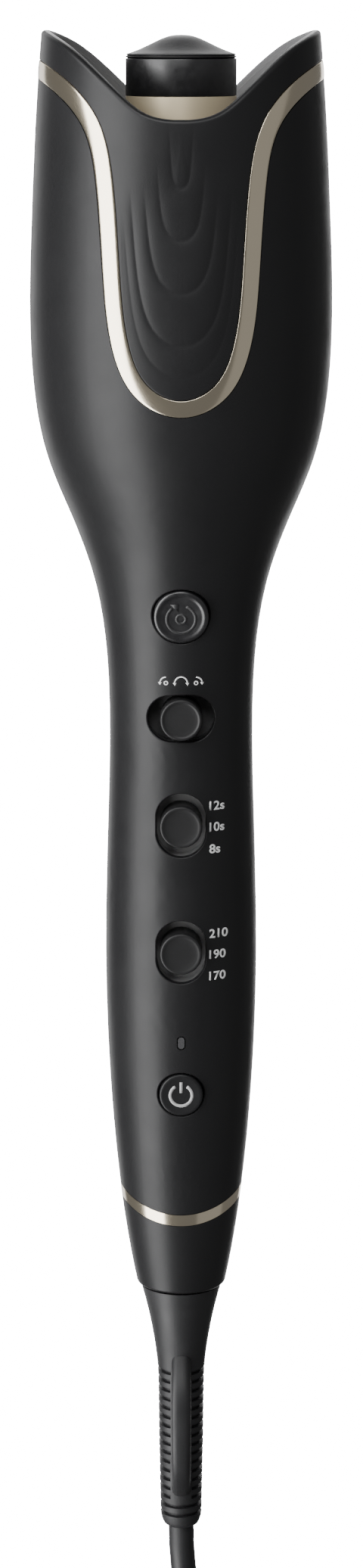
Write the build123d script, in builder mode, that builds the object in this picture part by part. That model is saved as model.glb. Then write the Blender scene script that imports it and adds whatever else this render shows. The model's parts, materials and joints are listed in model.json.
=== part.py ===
"""Automatic hair curler: an open heated chamber on a slim handle with a swivel cord.

Frame: millimetres, +Z runs up the handle towards the chamber, the controls face -Y, and
the origin is on the handle's axis where the hand holds it.
"""
import os
from math import acos, cos, pi, radians, sin, sqrt, tan

from build123d import *

# ---------------------------------------------------------------- driving dimensions
head_radius = 38.9         # widest part of the head
neck_radius = 18.8         # narrowest part of the neck
palm_radius = 20.1         # palm swell of the grip
handle_foot = -125.3       # height of the tail cap's foot


def flare(share):
    """Radius between the neck, at 0, and the head, at 1."""
    return neck_radius + share * (head_radius - neck_radius)


# Outer outline of the whole body, as (radius, height) from the chamber's tips to the tail.
body_outline = [
    (head_radius - 3.8, 210.0),
    (head_radius - 2.1, 189.0),
    (head_radius - 0.7, 162.0),
    (head_radius, 138.0),
    (head_radius - 0.9, 118.0),
    (flare(0.786), 100.0),
    (flare(0.478), 84.4),
    (flare(0.199), 68.5),
    (flare(0.035), 48.5),
    (neck_radius, 30.0),
    (palm_radius - 0.65, 0.0),
    (palm_radius, -30.0),
    (palm_radius - 1.0, -66.0),
    (palm_radius - 3.2, handle_foot + 32.3),
    (palm_radius - 6.1, handle_foot + 11.0),
    (palm_radius - 8.2, handle_foot),
]
housing_wall = 2.2
seam_gap = 0.15            # visible seam between neighbouring shells
inside_clearance = 0.15    # between a shell and what is nested in it
cut_depth = 60.0           # half length of a cut that passes right through the head

# Chamber mouth, seen from the front: a soft notch at the front and one at the back.
mouth_bottom = 186.6
mouth_outline = [(9.0, 188.6), (15.5, 193.9), (22.2, 200.0), (29.0, 205.0), (head_radius - 1.9, 208.6)]
mouth_top = 216.0
rim_round = 0.7

# Metal trim band between collar and housing, seen from the front: a deep U, low at the
# front and back and high at the sides.
trim_bottom = 118.1
trim_outline = [
    (8.4, 121.9), (12.9, 131.2), (15.0, 146.2), (16.9, 172.0), (20.9, 187.2), (29.1, 196.4),
    (head_radius + 3.1, 203.6)
]
trim_width = 4.1

# Tail ring between housing and tail cap.
tail_ring_middle = handle_foot + 23.9
tail_ring_rise = 4.8       # how much higher the ring stands at the sides
tail_ring_reach = 16.2     # half width over which it rises
tail_ring_width = 3.3
tail_floor = 3.0
tail_ledge_radius = 9.6
tail_round = 1.0

# Heated barrel.
barrel_radius = 14.1
barrel_wall = 1.0
barrel_foot = 134.0
barrel_foot_thickness = 3.0
barrel_top = 191.6
band_top = 200.9
cap_height = 5.9
cap_nose_radius = 2.6
cap_nose_rise = 0.6
cap_groove = 0.4           # fine shadow line under the cap
spigot_length = 5.0
spigot_fit = 0.1
heater_slot_width = 14.0
heater_slot_height = 5.0
fuse_radius = 1.8
fuse_length = 12.0
fuse_lift = 25.0           # fuse above the heater's foot
fuse_offset = 7.5

# Drive deck: chassis plate, gearbox base and what they carry.
chassis_bottom = 112.0
chassis_thickness = 3.0
stem_radius = 8.0
stem_bore = 5.0
stem_flange_radius = 10.0
stem_flange = 2.0
base_plate_radius = 27.0
base_plate_bottom = 98.0
base_plate_thickness = 2.0
base_plate_shaft_room = 1.5
post_radius = 3.0
post_circle = 22.0
running_clearance = 0.05

gear_module = 0.8
pinion_teeth = 12
idler_teeth_large = 24
idler_teeth_small = 12
ring_teeth = 48
gear_backlash = 0.22
gear_height = 4.8
pressure_angle = radians(20)
gear_lift = 3.0            # lower gears above the base plate
ring_gear_gap = 0.2        # idler's upper gear above the ring gear's underside
upper_gear_height = 4.2
short_addendum = 0.75      # of a module, on the idler's large gear
ring_dedendum = 0.7
gear_dedendum = 1.25

rotor_inset = 5.0          # rotor disc inside the chassis plate's edge
rotor_plate = 3.0
rotor_lift = 2.4           # ring gear underside above the chassis
ring_rim_radius = 22.6
sleeve_radius = 10.6
bush_wall = 1.0
bush_fit = 0.02
rotor_end_play = 0.2
arm_inset = 1.2            # arms inside the rotor disc's edge
arm_thickness = 3.0
arm_top = 180.0
arm_foot_width = 12.0
arm_tip_width = 6.0
liner_wall = 1.3
liner_lip_height = 2.0
liner_gap = 0.4            # rotor disc to liner lip

motor_radius = 12.0
motor_length = 26.0
motor_hub = 1.5
shaft_in_motor = 6.0
shaft_end_room = 0.5
shaft_radius = 1.5
idler_sleeve_radius = 3.4
idler_hole_clearance = 0.4

# Controls on the front face.
start_height = 61.0
start_radius = 7.05
start_tilt = 11.0          # degrees, the neck flares upwards there
start_press = 1.0
power_height = -67.1
power_radius = 5.75
power_tilt = 3.2
power_press = 0.8
start_flange_depth = 2.6   # flange below the inside of the wall
power_flange_depth = 2.0
button_gap = 0.3
opening_round = 0.35       # rounded lip of the openings in the front wall
button_proud = 0.55
button_flange = 1.2
button_flange_thickness = 1.0
direction_height = 34.0
direction_slot = (17.2, 12.3)
direction_knob_radius = 5.4
time_height = 5.8
temperature_height = -28.0
vertical_slot = (12.7, 16.9)
vertical_knob_radius = 5.5
slider_travel = 2.5
well_depth = 6.2
well_wall = 0.8
well_floor = 1.0
knob_proud = 2.0
knob_floor_gap = 0.3
knob_round = 0.5
stem_width = 2.4
stem_reach = 1.2           # slider stem beyond the well floor
lamp_height = -52.7
lamp_slot = (2.3, 3.8)
lens_size = (1.75, 3.2)
lens_proud = 0.1

# Circuit board and what stands on it.
board_front = -8.0
board_thickness = 1.6
board_width = 24.0
board_top = 70.0
board_bottom = -76.0
board_round = 2.0
switch_size = (8.6, 12.0)
tact_size = 6.0
tact_height = 3.4
plunger_radius = 1.6
plunger_height = 1.2
press_clearance = 0.2
lamp_size = (1.6, 2.8)
lamp_thickness = 1.8
module_size = (16.0, 30.0)
module_thickness = 9.0
module_height = -50.0
module_round = 1.0

# Housing screws.
screw_heights = (47.5, -85.0)
screw_radius = 1.3
screw_head_radius = 2.7
screw_head = 1.8
screw_post_radius = 3.2
screw_boss_radius = 4.2
post_meet = 2.0            # where front post and back boss meet
screw_clearance = 0.06
screw_seat = 5.0           # head below the back surface
screw_slot = (3.2, 1.0)
screw_slot_depth = 1.0

# Swivel, strain relief and hang loop. Heights here are below the handle's foot.
swivel_room = 0.6          # between the tail cap and the strain relief
swivel_neck_radius = 6.0
swivel_flange_radius = 8.5
swivel_flange = 2.5
swivel_play = 0.2
retainer_thickness = 2.0
core_tip = handle_foot - 20.7
core_radius = 4.6
slip_ring_radius = 4.0
relief_profile = [
    (10.9, swivel_room), (9.4, 6.4), (7.7, 14.7), (6.55, 23.2), (6.2, 34.7), (5.95, 52.7), (5.65, 67.2)
]
relief_end = handle_foot - 70.7
relief_end_radius = 4.3
relief_end_bulge = (5.2, 69.5)
groove_count = 17
groove_first = handle_foot - 24.9
groove_pitch = 2.6
groove_width = 1.2
groove_depth = 0.75
groove_reach = 9.0         # outside the sleeve
sleeve_radii = (6.3, 5.6)  # at the first groove and at the last
spine_width = 6.0
full_round_grooves = 2     # the last ones run right round the sleeve
loop_width = 5.2
loop_outer = [(5.0, 17.6), (12.4, 26.4), (14.9, 38.2), (13.0, 50.6), (4.6, 62.0)]
loop_inner = [(5.0, 25.2), (10.6, 29.6), (12.1, 38.6), (10.4, 48.4), (4.6, 54.4)]

# Cord, coil and plug. The cord runs straight down, bends towards +X and enters the coil level.
cord_diameter = 7.0
cord_route = [
    (0.0, 0.0, relief_end),
    (0.0, 0.0, relief_end - 21.5),
    (10.75, 0.0, relief_end - 40.1),
    (29.8, 0.0, relief_end - 51.1),
    (51.3, 0.0, relief_end - 51.1),
]
coil_stub = 27.0
coil_columns = 4
coil_layers = 2
coil_turns = 7.5
coil_mean_radius = 39.0
coil_side_room = 0.2
coil_hole_room = 0.5
stub_undersize = 0.05
tail_runs = [(0.0, 0.0), (8.2, 0.0), (20.9, 3.35), (29.1, 3.35)]   # from coil to plug: along, up
plug_length = 36.0
plug_width = 35.0
plug_thickness = 13.7
plug_relief_length = 20.0
plug_relief_radius = 5.2
plug_neck = (13.0, 11.0)
plug_neck_round = 4.0
plug_round = 5.0
plug_taper = 1.0
plug_entry_wall = 0.6
plug_shoulder = 15.0
plug_pin_radius = 2.0
plug_pin_length = 19.0
plug_pin_spacing = 18.6


# ---------------------------------------------------------------- shared shapes
cut_plane = Plane.XZ.offset(-cut_depth)    # behind the body: cuts run forwards from it


def outline_at(height):
    """Radius of the body outline at a height, by straight lines between its points."""
    for (upper_r, upper_z), (lower_r, lower_z) in zip(body_outline, body_outline[1:]):
        if lower_z <= height <= upper_z:
            return lower_r + (upper_r - lower_r) * (height - lower_z) / (upper_z - lower_z)
    return body_outline[-1][0]


def body_of_revolution(inset):
    """The body outline turned about Z, drawn in by inset all round."""
    points = [(radius - inset, height) for radius, height in body_outline]
    top = points[0][1]
    foot = points[-1][1]
    with BuildPart() as turned:
        with BuildSketch(Plane.XZ):
            with BuildLine():
                Spline(*points)
                Polyline(points[-1], (0, foot), (0, top), points[0])
            make_face()
        revolve(axis=Axis.Z)
    return turned.part


def relief_point(point):
    """A (radius, distance below the foot) pair as (radius, height)."""
    return point[0], handle_foot - point[1]


def grown_curve(bottom, outline, grow):
    """Right half of a symmetric curve, each point moved outwards along its own normal."""
    points = [(-outline[0][0], outline[0][1]), (0.0, bottom)] + list(outline)
    moved = []
    for before, point, after in zip(points, points[1:], points[2:]):
        along_x, along_z = after[0] - before[0], after[1] - before[1]
        length = sqrt(along_x**2 + along_z**2)
        moved.append((point[0] + grow * along_z / length, point[1] - grow * along_x / length))
    end = outline[-1]
    moved.append((end[0] + grow * along_z / length, end[1] - grow * along_x / length))
    return moved


def region_above(bottom, outline, grow=0.0):
    """Face above a curve that is symmetric about the middle, as seen from the front."""
    right = grown_curve(bottom, outline, grow)
    left = [(-x, z) for x, z in reversed(right[1:])]
    points = left + right
    with BuildSketch(cut_plane) as region:
        with BuildLine():
            Spline(*points)
            Polyline(points[-1], (points[-1][0], mouth_top), (points[0][0], mouth_top), points[0])
        make_face()
    return region.sketch


def tail_region(top_of_arc):
    """Face above the tail ring's dipping curve, drawn on the XZ plane."""
    radius = (tail_ring_reach**2 + tail_ring_rise**2) / (2 * tail_ring_rise)
    half = 1.25 * tail_ring_reach
    rise = radius - sqrt(radius**2 - half**2)
    with BuildSketch(cut_plane) as region:
        with BuildLine():
            ThreePointArc((-half, top_of_arc + rise), (0, top_of_arc), (half, top_of_arc + rise))
            Polyline((half, top_of_arc + rise), (cut_depth, top_of_arc + rise), (cut_depth, mouth_top),
                     (-cut_depth, mouth_top), (-cut_depth, top_of_arc + rise), (-half, top_of_arc + rise))
        make_face()
    return region.sketch


def involute(angle):
    return tan(angle) - angle


def gear_outline(teeth, addendum, dedendum, gap, first_tooth):
    """Closed list of points round a spur gear, with three points on each flank."""
    pitch_radius = gear_module * teeth / 2
    base_radius = pitch_radius * cos(pressure_angle)
    root_radius = pitch_radius - dedendum
    tip_radius = pitch_radius + addendum
    middle_radius = (max(base_radius, root_radius) + tip_radius) / 2
    half_tooth = pi / (2 * teeth) - gap / (2 * pitch_radius)
    points = []
    for tooth in range(teeth):
        centre = first_tooth + 2 * pi * tooth / teeth
        flank = []
        for radius in (root_radius, middle_radius, tip_radius):
            pressure = acos(min(1.0, base_radius / radius))
            flank.append((radius, half_tooth + involute(pressure_angle) - involute(pressure)))
        for radius, half in flank:
            points.append((radius * cos(centre - half), radius * sin(centre - half)))
        for radius, half in reversed(flank):
            points.append((radius * cos(centre + half), radius * sin(centre + half)))
    points.append(points[0])
    return points


outer_body = body_of_revolution(0)
inner_body = body_of_revolution(housing_wall)
nested_body = body_of_revolution(housing_wall + inside_clearance)
with BuildPart() as shell:
    add(outer_body)
    add(inner_body, mode=Mode.SUBTRACT)


def export(builder, name):
    builder.part.label = name
    export_step(builder.part, f"parts/{name}.step")


os.makedirs("parts", exist_ok=True)

# ---------------------------------------------------------------- head and housing shells
with BuildPart() as rim_collar:
    add(shell.part)
    extrude(region_above(trim_bottom, trim_outline), amount=2 * cut_depth, mode=Mode.INTERSECT)
    extrude(region_above(mouth_bottom, mouth_outline), amount=2 * cut_depth, mode=Mode.SUBTRACT)
export(rim_collar, "rim_collar")

with BuildPart() as trim_band:
    add(shell.part)
    extrude(region_above(trim_bottom, trim_outline, seam_gap + trim_width), amount=2 * cut_depth,
            mode=Mode.INTERSECT)
    extrude(region_above(trim_bottom, trim_outline, seam_gap), amount=2 * cut_depth, mode=Mode.SUBTRACT)
export(trim_band, "trim_band")

trim_total = trim_width + 2 * seam_gap
with BuildPart() as housing:
    add(shell.part)
    extrude(region_above(trim_bottom, trim_outline, trim_total), amount=2 * cut_depth, mode=Mode.SUBTRACT)
    extrude(tail_region(tail_ring_middle), amount=2 * cut_depth, mode=Mode.INTERSECT)

with BuildPart() as tail_ring:
    add(shell.part)
    extrude(tail_region(tail_ring_middle - seam_gap), amount=2 * cut_depth, mode=Mode.SUBTRACT)
    extrude(tail_region(tail_ring_middle - tail_ring_width), amount=2 * cut_depth, mode=Mode.INTERSECT)
export(tail_ring, "tail_ring")


def slot_cut(height, size, depth_from, depth_to):
    """Solid stadium through the front face, its ends full rounds, from one y to another."""
    long_side, short_side = max(size), min(size)
    turn = 0 if size[0] > size[1] else 90
    with BuildPart(mode=Mode.PRIVATE) as cut:
        with BuildSketch(Plane.XZ.offset(-depth_from)):
            with Locations((0, height)):
                SlotOverall(long_side, short_side, rotation=turn)
        extrude(amount=depth_from - depth_to)
    return cut.part


def button_plane(height, tilt):
    """Plane on the front face at a button, looking out along the button's own axis."""
    lean = radians(tilt)
    return Plane(origin=(0, -outline_at(height), height), x_dir=(1, 0, 0), z_dir=(0, -cos(lean), -sin(lean)))


start_plane = button_plane(start_height, start_tilt)
power_plane = button_plane(power_height, power_tilt)
through_wall = 12.0        # long enough to cut through the front wall
front_reach = -(palm_radius + through_wall)
slots = [
    (direction_height, direction_slot),
    (time_height, vertical_slot),
    (temperature_height, vertical_slot),
    (lamp_height, lamp_slot),
]

openings = [(start_height, start_radius), (power_height, power_radius)]
openings += [(height, max(size) / 2) for height, size in slots[:3]]


def rim_of_opening(edges, height, reach):
    """Edges round an opening that lie on the outer surface of the front wall."""
    rim = []
    for edge in edges:
        points = [edge @ share for share in (0, 0.25, 0.5, 0.75, 1)]
        on_surface = all(abs(sqrt(p.X**2 + p.Y**2) - outline_at(p.Z)) < housing_wall / 3 for p in points)
        close = all(p.Y < 0 and abs(p.X) < reach + 1 and abs(p.Z - height) < reach + 1 for p in points)
        if on_surface and close:
            rim.append(edge)
    return rim


# ---------------------------------------------------------------- handle halves
with BuildPart() as front_housing:
    add(housing.part)
    split(bisect_by=Plane.XZ.offset(seam_gap / 2), keep=Keep.TOP)
    for height, size in slots:
        add(slot_cut(height, size, board_front, front_reach), mode=Mode.SUBTRACT)
    for plane, radius in ((start_plane, start_radius), (power_plane, power_radius)):
        with BuildSketch(plane.offset(through_wall / 2)):
            Circle(radius + button_gap)
        extrude(amount=-through_wall, mode=Mode.SUBTRACT)
    for height in screw_heights:
        wall_middle = outline_at(height) - housing_wall / 2
        with BuildSketch(Plane.XZ.offset(-post_meet)):
            with Locations((0, height)):
                Circle(screw_post_radius)
        extrude(amount=post_meet + wall_middle)
        with BuildSketch(Plane.XZ.offset(-post_meet)):
            with Locations((0, height)):
                Circle(screw_radius + screw_clearance)
        extrude(amount=post_meet + wall_middle - housing_wall, mode=Mode.SUBTRACT)
    for height, reach in openings:
        fillet(rim_of_opening(front_housing.edges(), height, reach), opening_round)
export(front_housing, "front_housing")

with BuildPart() as back_housing:
    add(housing.part)
    split(bisect_by=Plane.XZ.offset(-seam_gap / 2), keep=Keep.BOTTOM)
    for height in screw_heights:
        wall_middle = outline_at(height) - housing_wall / 2
        with BuildSketch(Plane.XZ.offset(-post_meet)):
            with Locations((0, height)):
                Circle(screw_boss_radius)
        extrude(amount=-(wall_middle - post_meet))
        with BuildSketch(Plane.XZ.offset(-post_meet)):
            with Locations((0, height)):
                Circle(screw_radius + screw_clearance)
        extrude(amount=-(wall_middle + through_wall), mode=Mode.SUBTRACT)
        with BuildSketch(Plane.XZ.offset(-(outline_at(height) - screw_seat))):
            with Locations((0, height)):
                Circle(screw_head_radius + screw_clearance)
        extrude(amount=-(screw_seat + through_wall), mode=Mode.SUBTRACT)
export(back_housing, "back_housing")

for number, height in enumerate(screw_heights, start=1):
    seat = outline_at(height) - screw_seat
    with BuildPart() as housing_screw:
        with BuildSketch(Plane.XZ.offset(-seat)):
            with Locations((0, height)):
                Circle(screw_head_radius)
        extrude(amount=-screw_head)
        with BuildSketch(Plane.XZ.offset(-seat)):
            with Locations((0, height)):
                Circle(screw_radius)
        extrude(amount=2 * (seat - post_meet))
        with BuildSketch(Plane.XZ.offset(-(seat + screw_head))):
            with Locations((0, height)):
                Rectangle(*screw_slot)
                Rectangle(*reversed(screw_slot))
        extrude(amount=screw_slot_depth, mode=Mode.SUBTRACT)
    export(housing_screw, f"housing_screw_{number}")

# ---------------------------------------------------------------- chamber liner
liner_inner = body_of_revolution(housing_wall + inside_clearance + liner_wall)
deck = chassis_bottom + chassis_thickness
rotor_bottom = deck + rotor_lift
rotor_floor = rotor_bottom + gear_height
rotor_top = rotor_floor + rotor_plate
chassis_radius = outline_at(chassis_bottom + chassis_thickness / 2) - housing_wall - inside_clearance
rotor_radius = chassis_radius - rotor_inset
with BuildPart() as chamber_liner:
    add(nested_body)
    add(liner_inner, mode=Mode.SUBTRACT)
    split(bisect_by=Plane.XY.offset(deck), keep=Keep.TOP)
    with BuildSketch(Plane.XY.offset(rotor_top - liner_lip_height)):
        Circle(outline_at(rotor_top) - housing_wall - inside_clearance - liner_wall / 2)
        Circle(rotor_radius + liner_gap, mode=Mode.SUBTRACT)
    extrude(amount=liner_lip_height)
    extrude(region_above(mouth_bottom, mouth_outline, rim_round), amount=2 * cut_depth, mode=Mode.SUBTRACT)
export(chamber_liner, "chamber_liner")

# ---------------------------------------------------------------- drive deck
large_pitch = gear_module * idler_teeth_large / 2
small_pitch = gear_module * idler_teeth_small / 2
pinion_pitch = gear_module * pinion_teeth / 2
ring_pitch = gear_module * ring_teeth / 2
idler_offset = pinion_pitch + large_pitch
lower_gear = base_plate_bottom + base_plate_thickness + gear_lift
upper_gear = rotor_bottom + ring_gear_gap
idler_hole = idler_sleeve_radius + idler_hole_clearance

with BuildPart() as chassis_plate:
    with BuildSketch(Plane.XY.offset(chassis_bottom)):
        Circle(chassis_radius)
        Circle(stem_bore, mode=Mode.SUBTRACT)
        with Locations((0, idler_offset)):
            Circle(idler_hole, mode=Mode.SUBTRACT)
    extrude(amount=chassis_thickness)
export(chassis_plate, "chassis_plate")

with BuildPart() as gearbox_base:
    with BuildSketch(Plane.XY.offset(base_plate_bottom)):
        Circle(base_plate_radius)
        Circle(shaft_radius + base_plate_shaft_room, mode=Mode.SUBTRACT)
        with Locations((0, idler_offset)):
            Circle(shaft_radius, mode=Mode.SUBTRACT)
    extrude(amount=base_plate_thickness)
    with BuildSketch(Plane.XY.offset(base_plate_bottom)):
        with PolarLocations(post_circle, 3, start_angle=-90):
            Circle(post_radius)
    extrude(amount=chassis_bottom - base_plate_bottom)
export(gearbox_base, "gearbox_base")

barrel_underside = barrel_foot - barrel_foot_thickness
with BuildPart() as barrel_stem:
    with BuildSketch(Plane.XY.offset(deck)):
        Circle(stem_flange_radius)
    extrude(amount=stem_flange)
    with BuildSketch(Plane.XY.offset(deck)):
        Circle(stem_radius)
    extrude(amount=barrel_underside - deck)
    with BuildSketch(Plane.XY.offset(deck)):
        Circle(stem_bore)
    extrude(amount=barrel_foot, mode=Mode.SUBTRACT)
export(barrel_stem, "barrel_stem")

# ---------------------------------------------------------------- heated barrel
with BuildPart() as barrel_base:
    with BuildSketch(Plane.XY.offset(barrel_underside)):
        Circle(barrel_radius)
    extrude(amount=barrel_foot_thickness)
    with BuildSketch(Plane.XY.offset(barrel_foot)):
        Circle(barrel_radius - barrel_wall - spigot_fit)
    extrude(amount=spigot_length)
    with BuildSketch(Plane.XY.offset(barrel_underside)):
        Circle(stem_bore)
    extrude(amount=barrel_foot_thickness + spigot_length, mode=Mode.SUBTRACT)
export(barrel_base, "barrel_base")

with BuildPart() as barrel_tube:
    with BuildSketch(Plane.XY.offset(barrel_foot)):
        Circle(barrel_radius)
        Circle(barrel_radius - barrel_wall, mode=Mode.SUBTRACT)
    extrude(amount=barrel_top - barrel_foot)
export(barrel_tube, "barrel_tube")

with BuildPart() as barrel_band:
    with BuildSketch(Plane.XY.offset(barrel_top)):
        Circle(barrel_radius)
    extrude(amount=band_top - barrel_top)
    with BuildSketch(Plane.XY.offset(barrel_top - spigot_length)):
        Circle(barrel_radius - barrel_wall - spigot_fit)
    extrude(amount=spigot_length)
    with BuildSketch(Plane.XY.offset(barrel_top - spigot_length)):
        Circle(barrel_radius - 3 * barrel_wall)
    extrude(amount=spigot_length + band_top - barrel_top, mode=Mode.SUBTRACT)
export(barrel_band, "barrel_band")

cap_foot = band_top - spigot_length
cap_spigot_radius = barrel_radius - 3 * barrel_wall - spigot_fit
cap_edge = band_top + 2 * cap_groove
groove_floor = barrel_radius - cap_groove
cap_tip = band_top + cap_height
nose_foot = cap_tip - cap_nose_rise
nose_ball = (cap_nose_radius**2 + cap_nose_rise**2) / (2 * cap_nose_rise)
nose_middle = cap_tip - nose_ball + sqrt(nose_ball**2 - cap_nose_radius**2 / 4)
with BuildPart() as barrel_cap:
    with BuildSketch(Plane.XZ):
        with BuildLine():
            Polyline((0, cap_tip), (0, cap_foot), (cap_spigot_radius, cap_foot),
                     (cap_spigot_radius, band_top), (groove_floor, band_top), (groove_floor, band_top + cap_groove),
                     (barrel_radius, band_top + cap_groove), (barrel_radius, cap_edge),
                     (cap_nose_radius, nose_foot))
            ThreePointArc((cap_nose_radius, nose_foot), (cap_nose_radius / 2, nose_middle), (0, cap_tip))
        make_face()
    revolve(axis=Axis.Z)
export(barrel_cap, "barrel_cap")

heater_bottom = barrel_foot + spigot_length
heater_radius = barrel_radius - barrel_wall - spigot_fit
with BuildPart() as heater_core:
    with BuildSketch(Plane.XY.offset(heater_bottom)):
        Circle(heater_radius)
        Rectangle(heater_slot_width, heater_slot_height, mode=Mode.SUBTRACT)
        with Locations((0, fuse_offset)):
            Circle(fuse_radius + spigot_fit, mode=Mode.SUBTRACT)
    extrude(amount=barrel_top - spigot_length - heater_bottom)
export(heater_core, "heater_core")

with BuildPart() as heater_plate:
    with BuildSketch(Plane.XY.offset(heater_bottom)):
        Rectangle(heater_slot_width - 2 * spigot_fit, heater_slot_height - 2 * spigot_fit)
    extrude(amount=barrel_top - spigot_length - heater_bottom)
export(heater_plate, "heater_plate")

with BuildPart() as thermal_fuse:
    with BuildSketch(Plane.XY.offset(heater_bottom + fuse_lift)):
        with Locations((0, fuse_offset)):
            Circle(fuse_radius)
    extrude(amount=fuse_length)
export(thermal_fuse, "thermal_fuse")

# ---------------------------------------------------------------- winding rotor and its drive
bush_radius = stem_radius + running_clearance
sleeve_top = barrel_underside - rotor_end_play
arm_tip_corner = (arm_tip_width / 2, arm_top - arm_tip_width / 2)
arm_foot_corner = (arm_foot_width / 2, rotor_top)
arm_inner = rotor_radius - arm_inset - arm_thickness
with BuildPart() as winding_rotor:
    with BuildSketch(Plane.XY.offset(rotor_bottom)):
        Circle(ring_rim_radius)
        with BuildLine():
            Polyline(*gear_outline(ring_teeth, gear_module, ring_dedendum * gear_module, -gear_backlash,
                                   pi / 2))
        make_face(mode=Mode.SUBTRACT)
    extrude(amount=gear_height)
    with BuildSketch(Plane.XY.offset(rotor_floor)):
        Circle(rotor_radius)
    extrude(amount=rotor_plate)
    with BuildSketch(Plane.XY.offset(rotor_top)):
        Circle(sleeve_radius)
    extrude(amount=sleeve_top - rotor_top)
    with BuildSketch(Plane.XY.offset(rotor_floor)):
        Circle(bush_radius + bush_wall)
    extrude(amount=barrel_foot, mode=Mode.SUBTRACT)
    for arm_face in (-arm_inner - arm_thickness, arm_inner):
        with BuildSketch(Plane.YZ.offset(arm_face)):
            with BuildLine():
                Polyline((-arm_foot_corner[0], arm_foot_corner[1]), arm_foot_corner, arm_tip_corner)
                ThreePointArc(arm_tip_corner, (0, arm_top), (-arm_tip_corner[0], arm_tip_corner[1]))
                Line((-arm_tip_corner[0], arm_tip_corner[1]), (-arm_foot_corner[0], arm_foot_corner[1]))
            make_face()
        extrude(amount=arm_thickness)
export(winding_rotor, "winding_rotor")

with BuildPart() as rotor_bush:
    with BuildSketch(Plane.XY.offset(rotor_floor)):
        Circle(bush_radius + bush_wall - bush_fit)
        Circle(bush_radius, mode=Mode.SUBTRACT)
    extrude(amount=sleeve_top - rotor_floor)
export(rotor_bush, "rotor_bush")

half_step_large = pi / idler_teeth_large
root_depth = gear_dedendum * gear_module
with BuildPart() as idler_gear:
    with BuildSketch(Plane.XY.offset(lower_gear)):
        with BuildLine():
            Polyline(*gear_outline(idler_teeth_large, short_addendum * gear_module, root_depth,
                                   gear_backlash, -pi / 2 + half_step_large))
        make_face()
    extrude(amount=gear_height)
    with BuildSketch(Plane.XY.offset(lower_gear)):
        Circle(idler_sleeve_radius)
    extrude(amount=upper_gear - lower_gear)
    with BuildSketch(Plane.XY.offset(upper_gear)):
        with BuildLine():
            Polyline(*gear_outline(idler_teeth_small, gear_module, root_depth, gear_backlash, pi / 2))
        make_face()
    extrude(amount=upper_gear_height)
    with BuildSketch(Plane.XY.offset(base_plate_bottom)):
        Circle(shaft_radius + running_clearance)
    extrude(amount=rotor_top - base_plate_bottom, mode=Mode.SUBTRACT)
idler_gear.part.position = (0, idler_offset, 0)
export(idler_gear, "idler_gear")

with BuildPart() as idler_pin:
    with BuildSketch(Plane.XY.offset(base_plate_bottom)):
        with Locations((0, idler_offset)):
            Circle(shaft_radius)
    extrude(amount=rotor_bottom + upper_gear_height - base_plate_bottom)
export(idler_pin, "idler_pin")

with BuildPart() as motor_pinion:
    with BuildSketch(Plane.XY.offset(lower_gear)):
        with BuildLine():
            Polyline(*gear_outline(pinion_teeth, gear_module, root_depth, gear_backlash, pi / 2))
        make_face()
        Circle(shaft_radius, mode=Mode.SUBTRACT)
    extrude(amount=gear_height)
export(motor_pinion, "motor_pinion")

with BuildPart() as motor_shaft:
    with BuildSketch(Plane.XY.offset(base_plate_bottom - shaft_in_motor)):
        Circle(shaft_radius)
    extrude(amount=shaft_in_motor + lower_gear + gear_height - base_plate_bottom)
export(motor_shaft, "motor_shaft")

with BuildPart() as motor:
    with BuildSketch(Plane.XY.offset(base_plate_bottom - motor_length)):
        Circle(motor_radius)
    extrude(amount=motor_length)
    with BuildSketch(Plane.XY.offset(base_plate_bottom - motor_length - motor_hub)):
        Circle(motor_radius / 2)
    extrude(amount=motor_hub)
    with BuildSketch(Plane.XY.offset(base_plate_bottom - shaft_in_motor - shaft_end_room)):
        Circle(shaft_radius + running_clearance)
    extrude(amount=shaft_in_motor + shaft_end_room, mode=Mode.SUBTRACT)
export(motor, "motor")

# ---------------------------------------------------------------- controls
def stem_depth(plane, press):
    """How far in along a button's axis its stem ends, just short of the tact switch."""
    tact_tip = board_front - tact_height - plunger_height
    room = press_clearance + plunger_radius * abs(plane.z_dir.Z)
    return (tact_tip - press - room - plane.origin.Y) / -plane.z_dir.Y


def round_button(plane, radius, flange_depth, press):
    """A cap in a round hole, with a retaining flange inside and a stem towards its switch."""
    foot = housing_wall + flange_depth
    stem = stem_depth(plane, press) - foot
    with BuildPart() as button:
        with BuildSketch(plane.offset(-foot)):
            Circle(radius)
        extrude(amount=foot + button_proud)
        fillet(button.faces().sort_by(Axis(plane.origin, plane.z_dir))[-1].edges(), knob_round)
        with BuildSketch(plane.offset(-foot)):
            Circle(radius + button_flange)
        extrude(amount=-button_flange_thickness)
        with BuildSketch(plane.offset(-foot)):
            Circle(plunger_radius)
        extrude(amount=-stem)
    return button


start_button = round_button(start_plane, start_radius, start_flange_depth, start_press)
export(start_button, "start_button")
power_button = round_button(power_plane, power_radius, power_flange_depth, power_press)
export(power_button, "power_button")


def slider_knob(height, radius):
    """A round knob standing on the floor of its well, with a stem through the floor."""
    face = outline_at(height)
    foot = face - well_depth + knob_floor_gap
    with BuildPart() as knob:
        with BuildSketch(Plane.XZ.offset(foot)):
            with Locations((0, height)):
                Circle(radius)
        extrude(amount=face + knob_proud - foot)
        fillet(knob.faces().sort_by(Axis.Y)[0].edges(), knob_round)
        with BuildSketch(Plane.XZ.offset(foot)):
            with Locations((0, height)):
                Rectangle(stem_width, stem_width)
        extrude(amount=-(knob_floor_gap + well_floor + stem_reach))
    return knob


stem_track = 2 * slider_travel + stem_width + 2 * knob_floor_gap
stem_room = stem_width + 2 * knob_floor_gap


def along_slot(slot, lengthwise, across):
    """A width and a height, from the sizes along and across a slot."""
    return (lengthwise, across) if slot[0] > slot[1] else (across, lengthwise)


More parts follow.
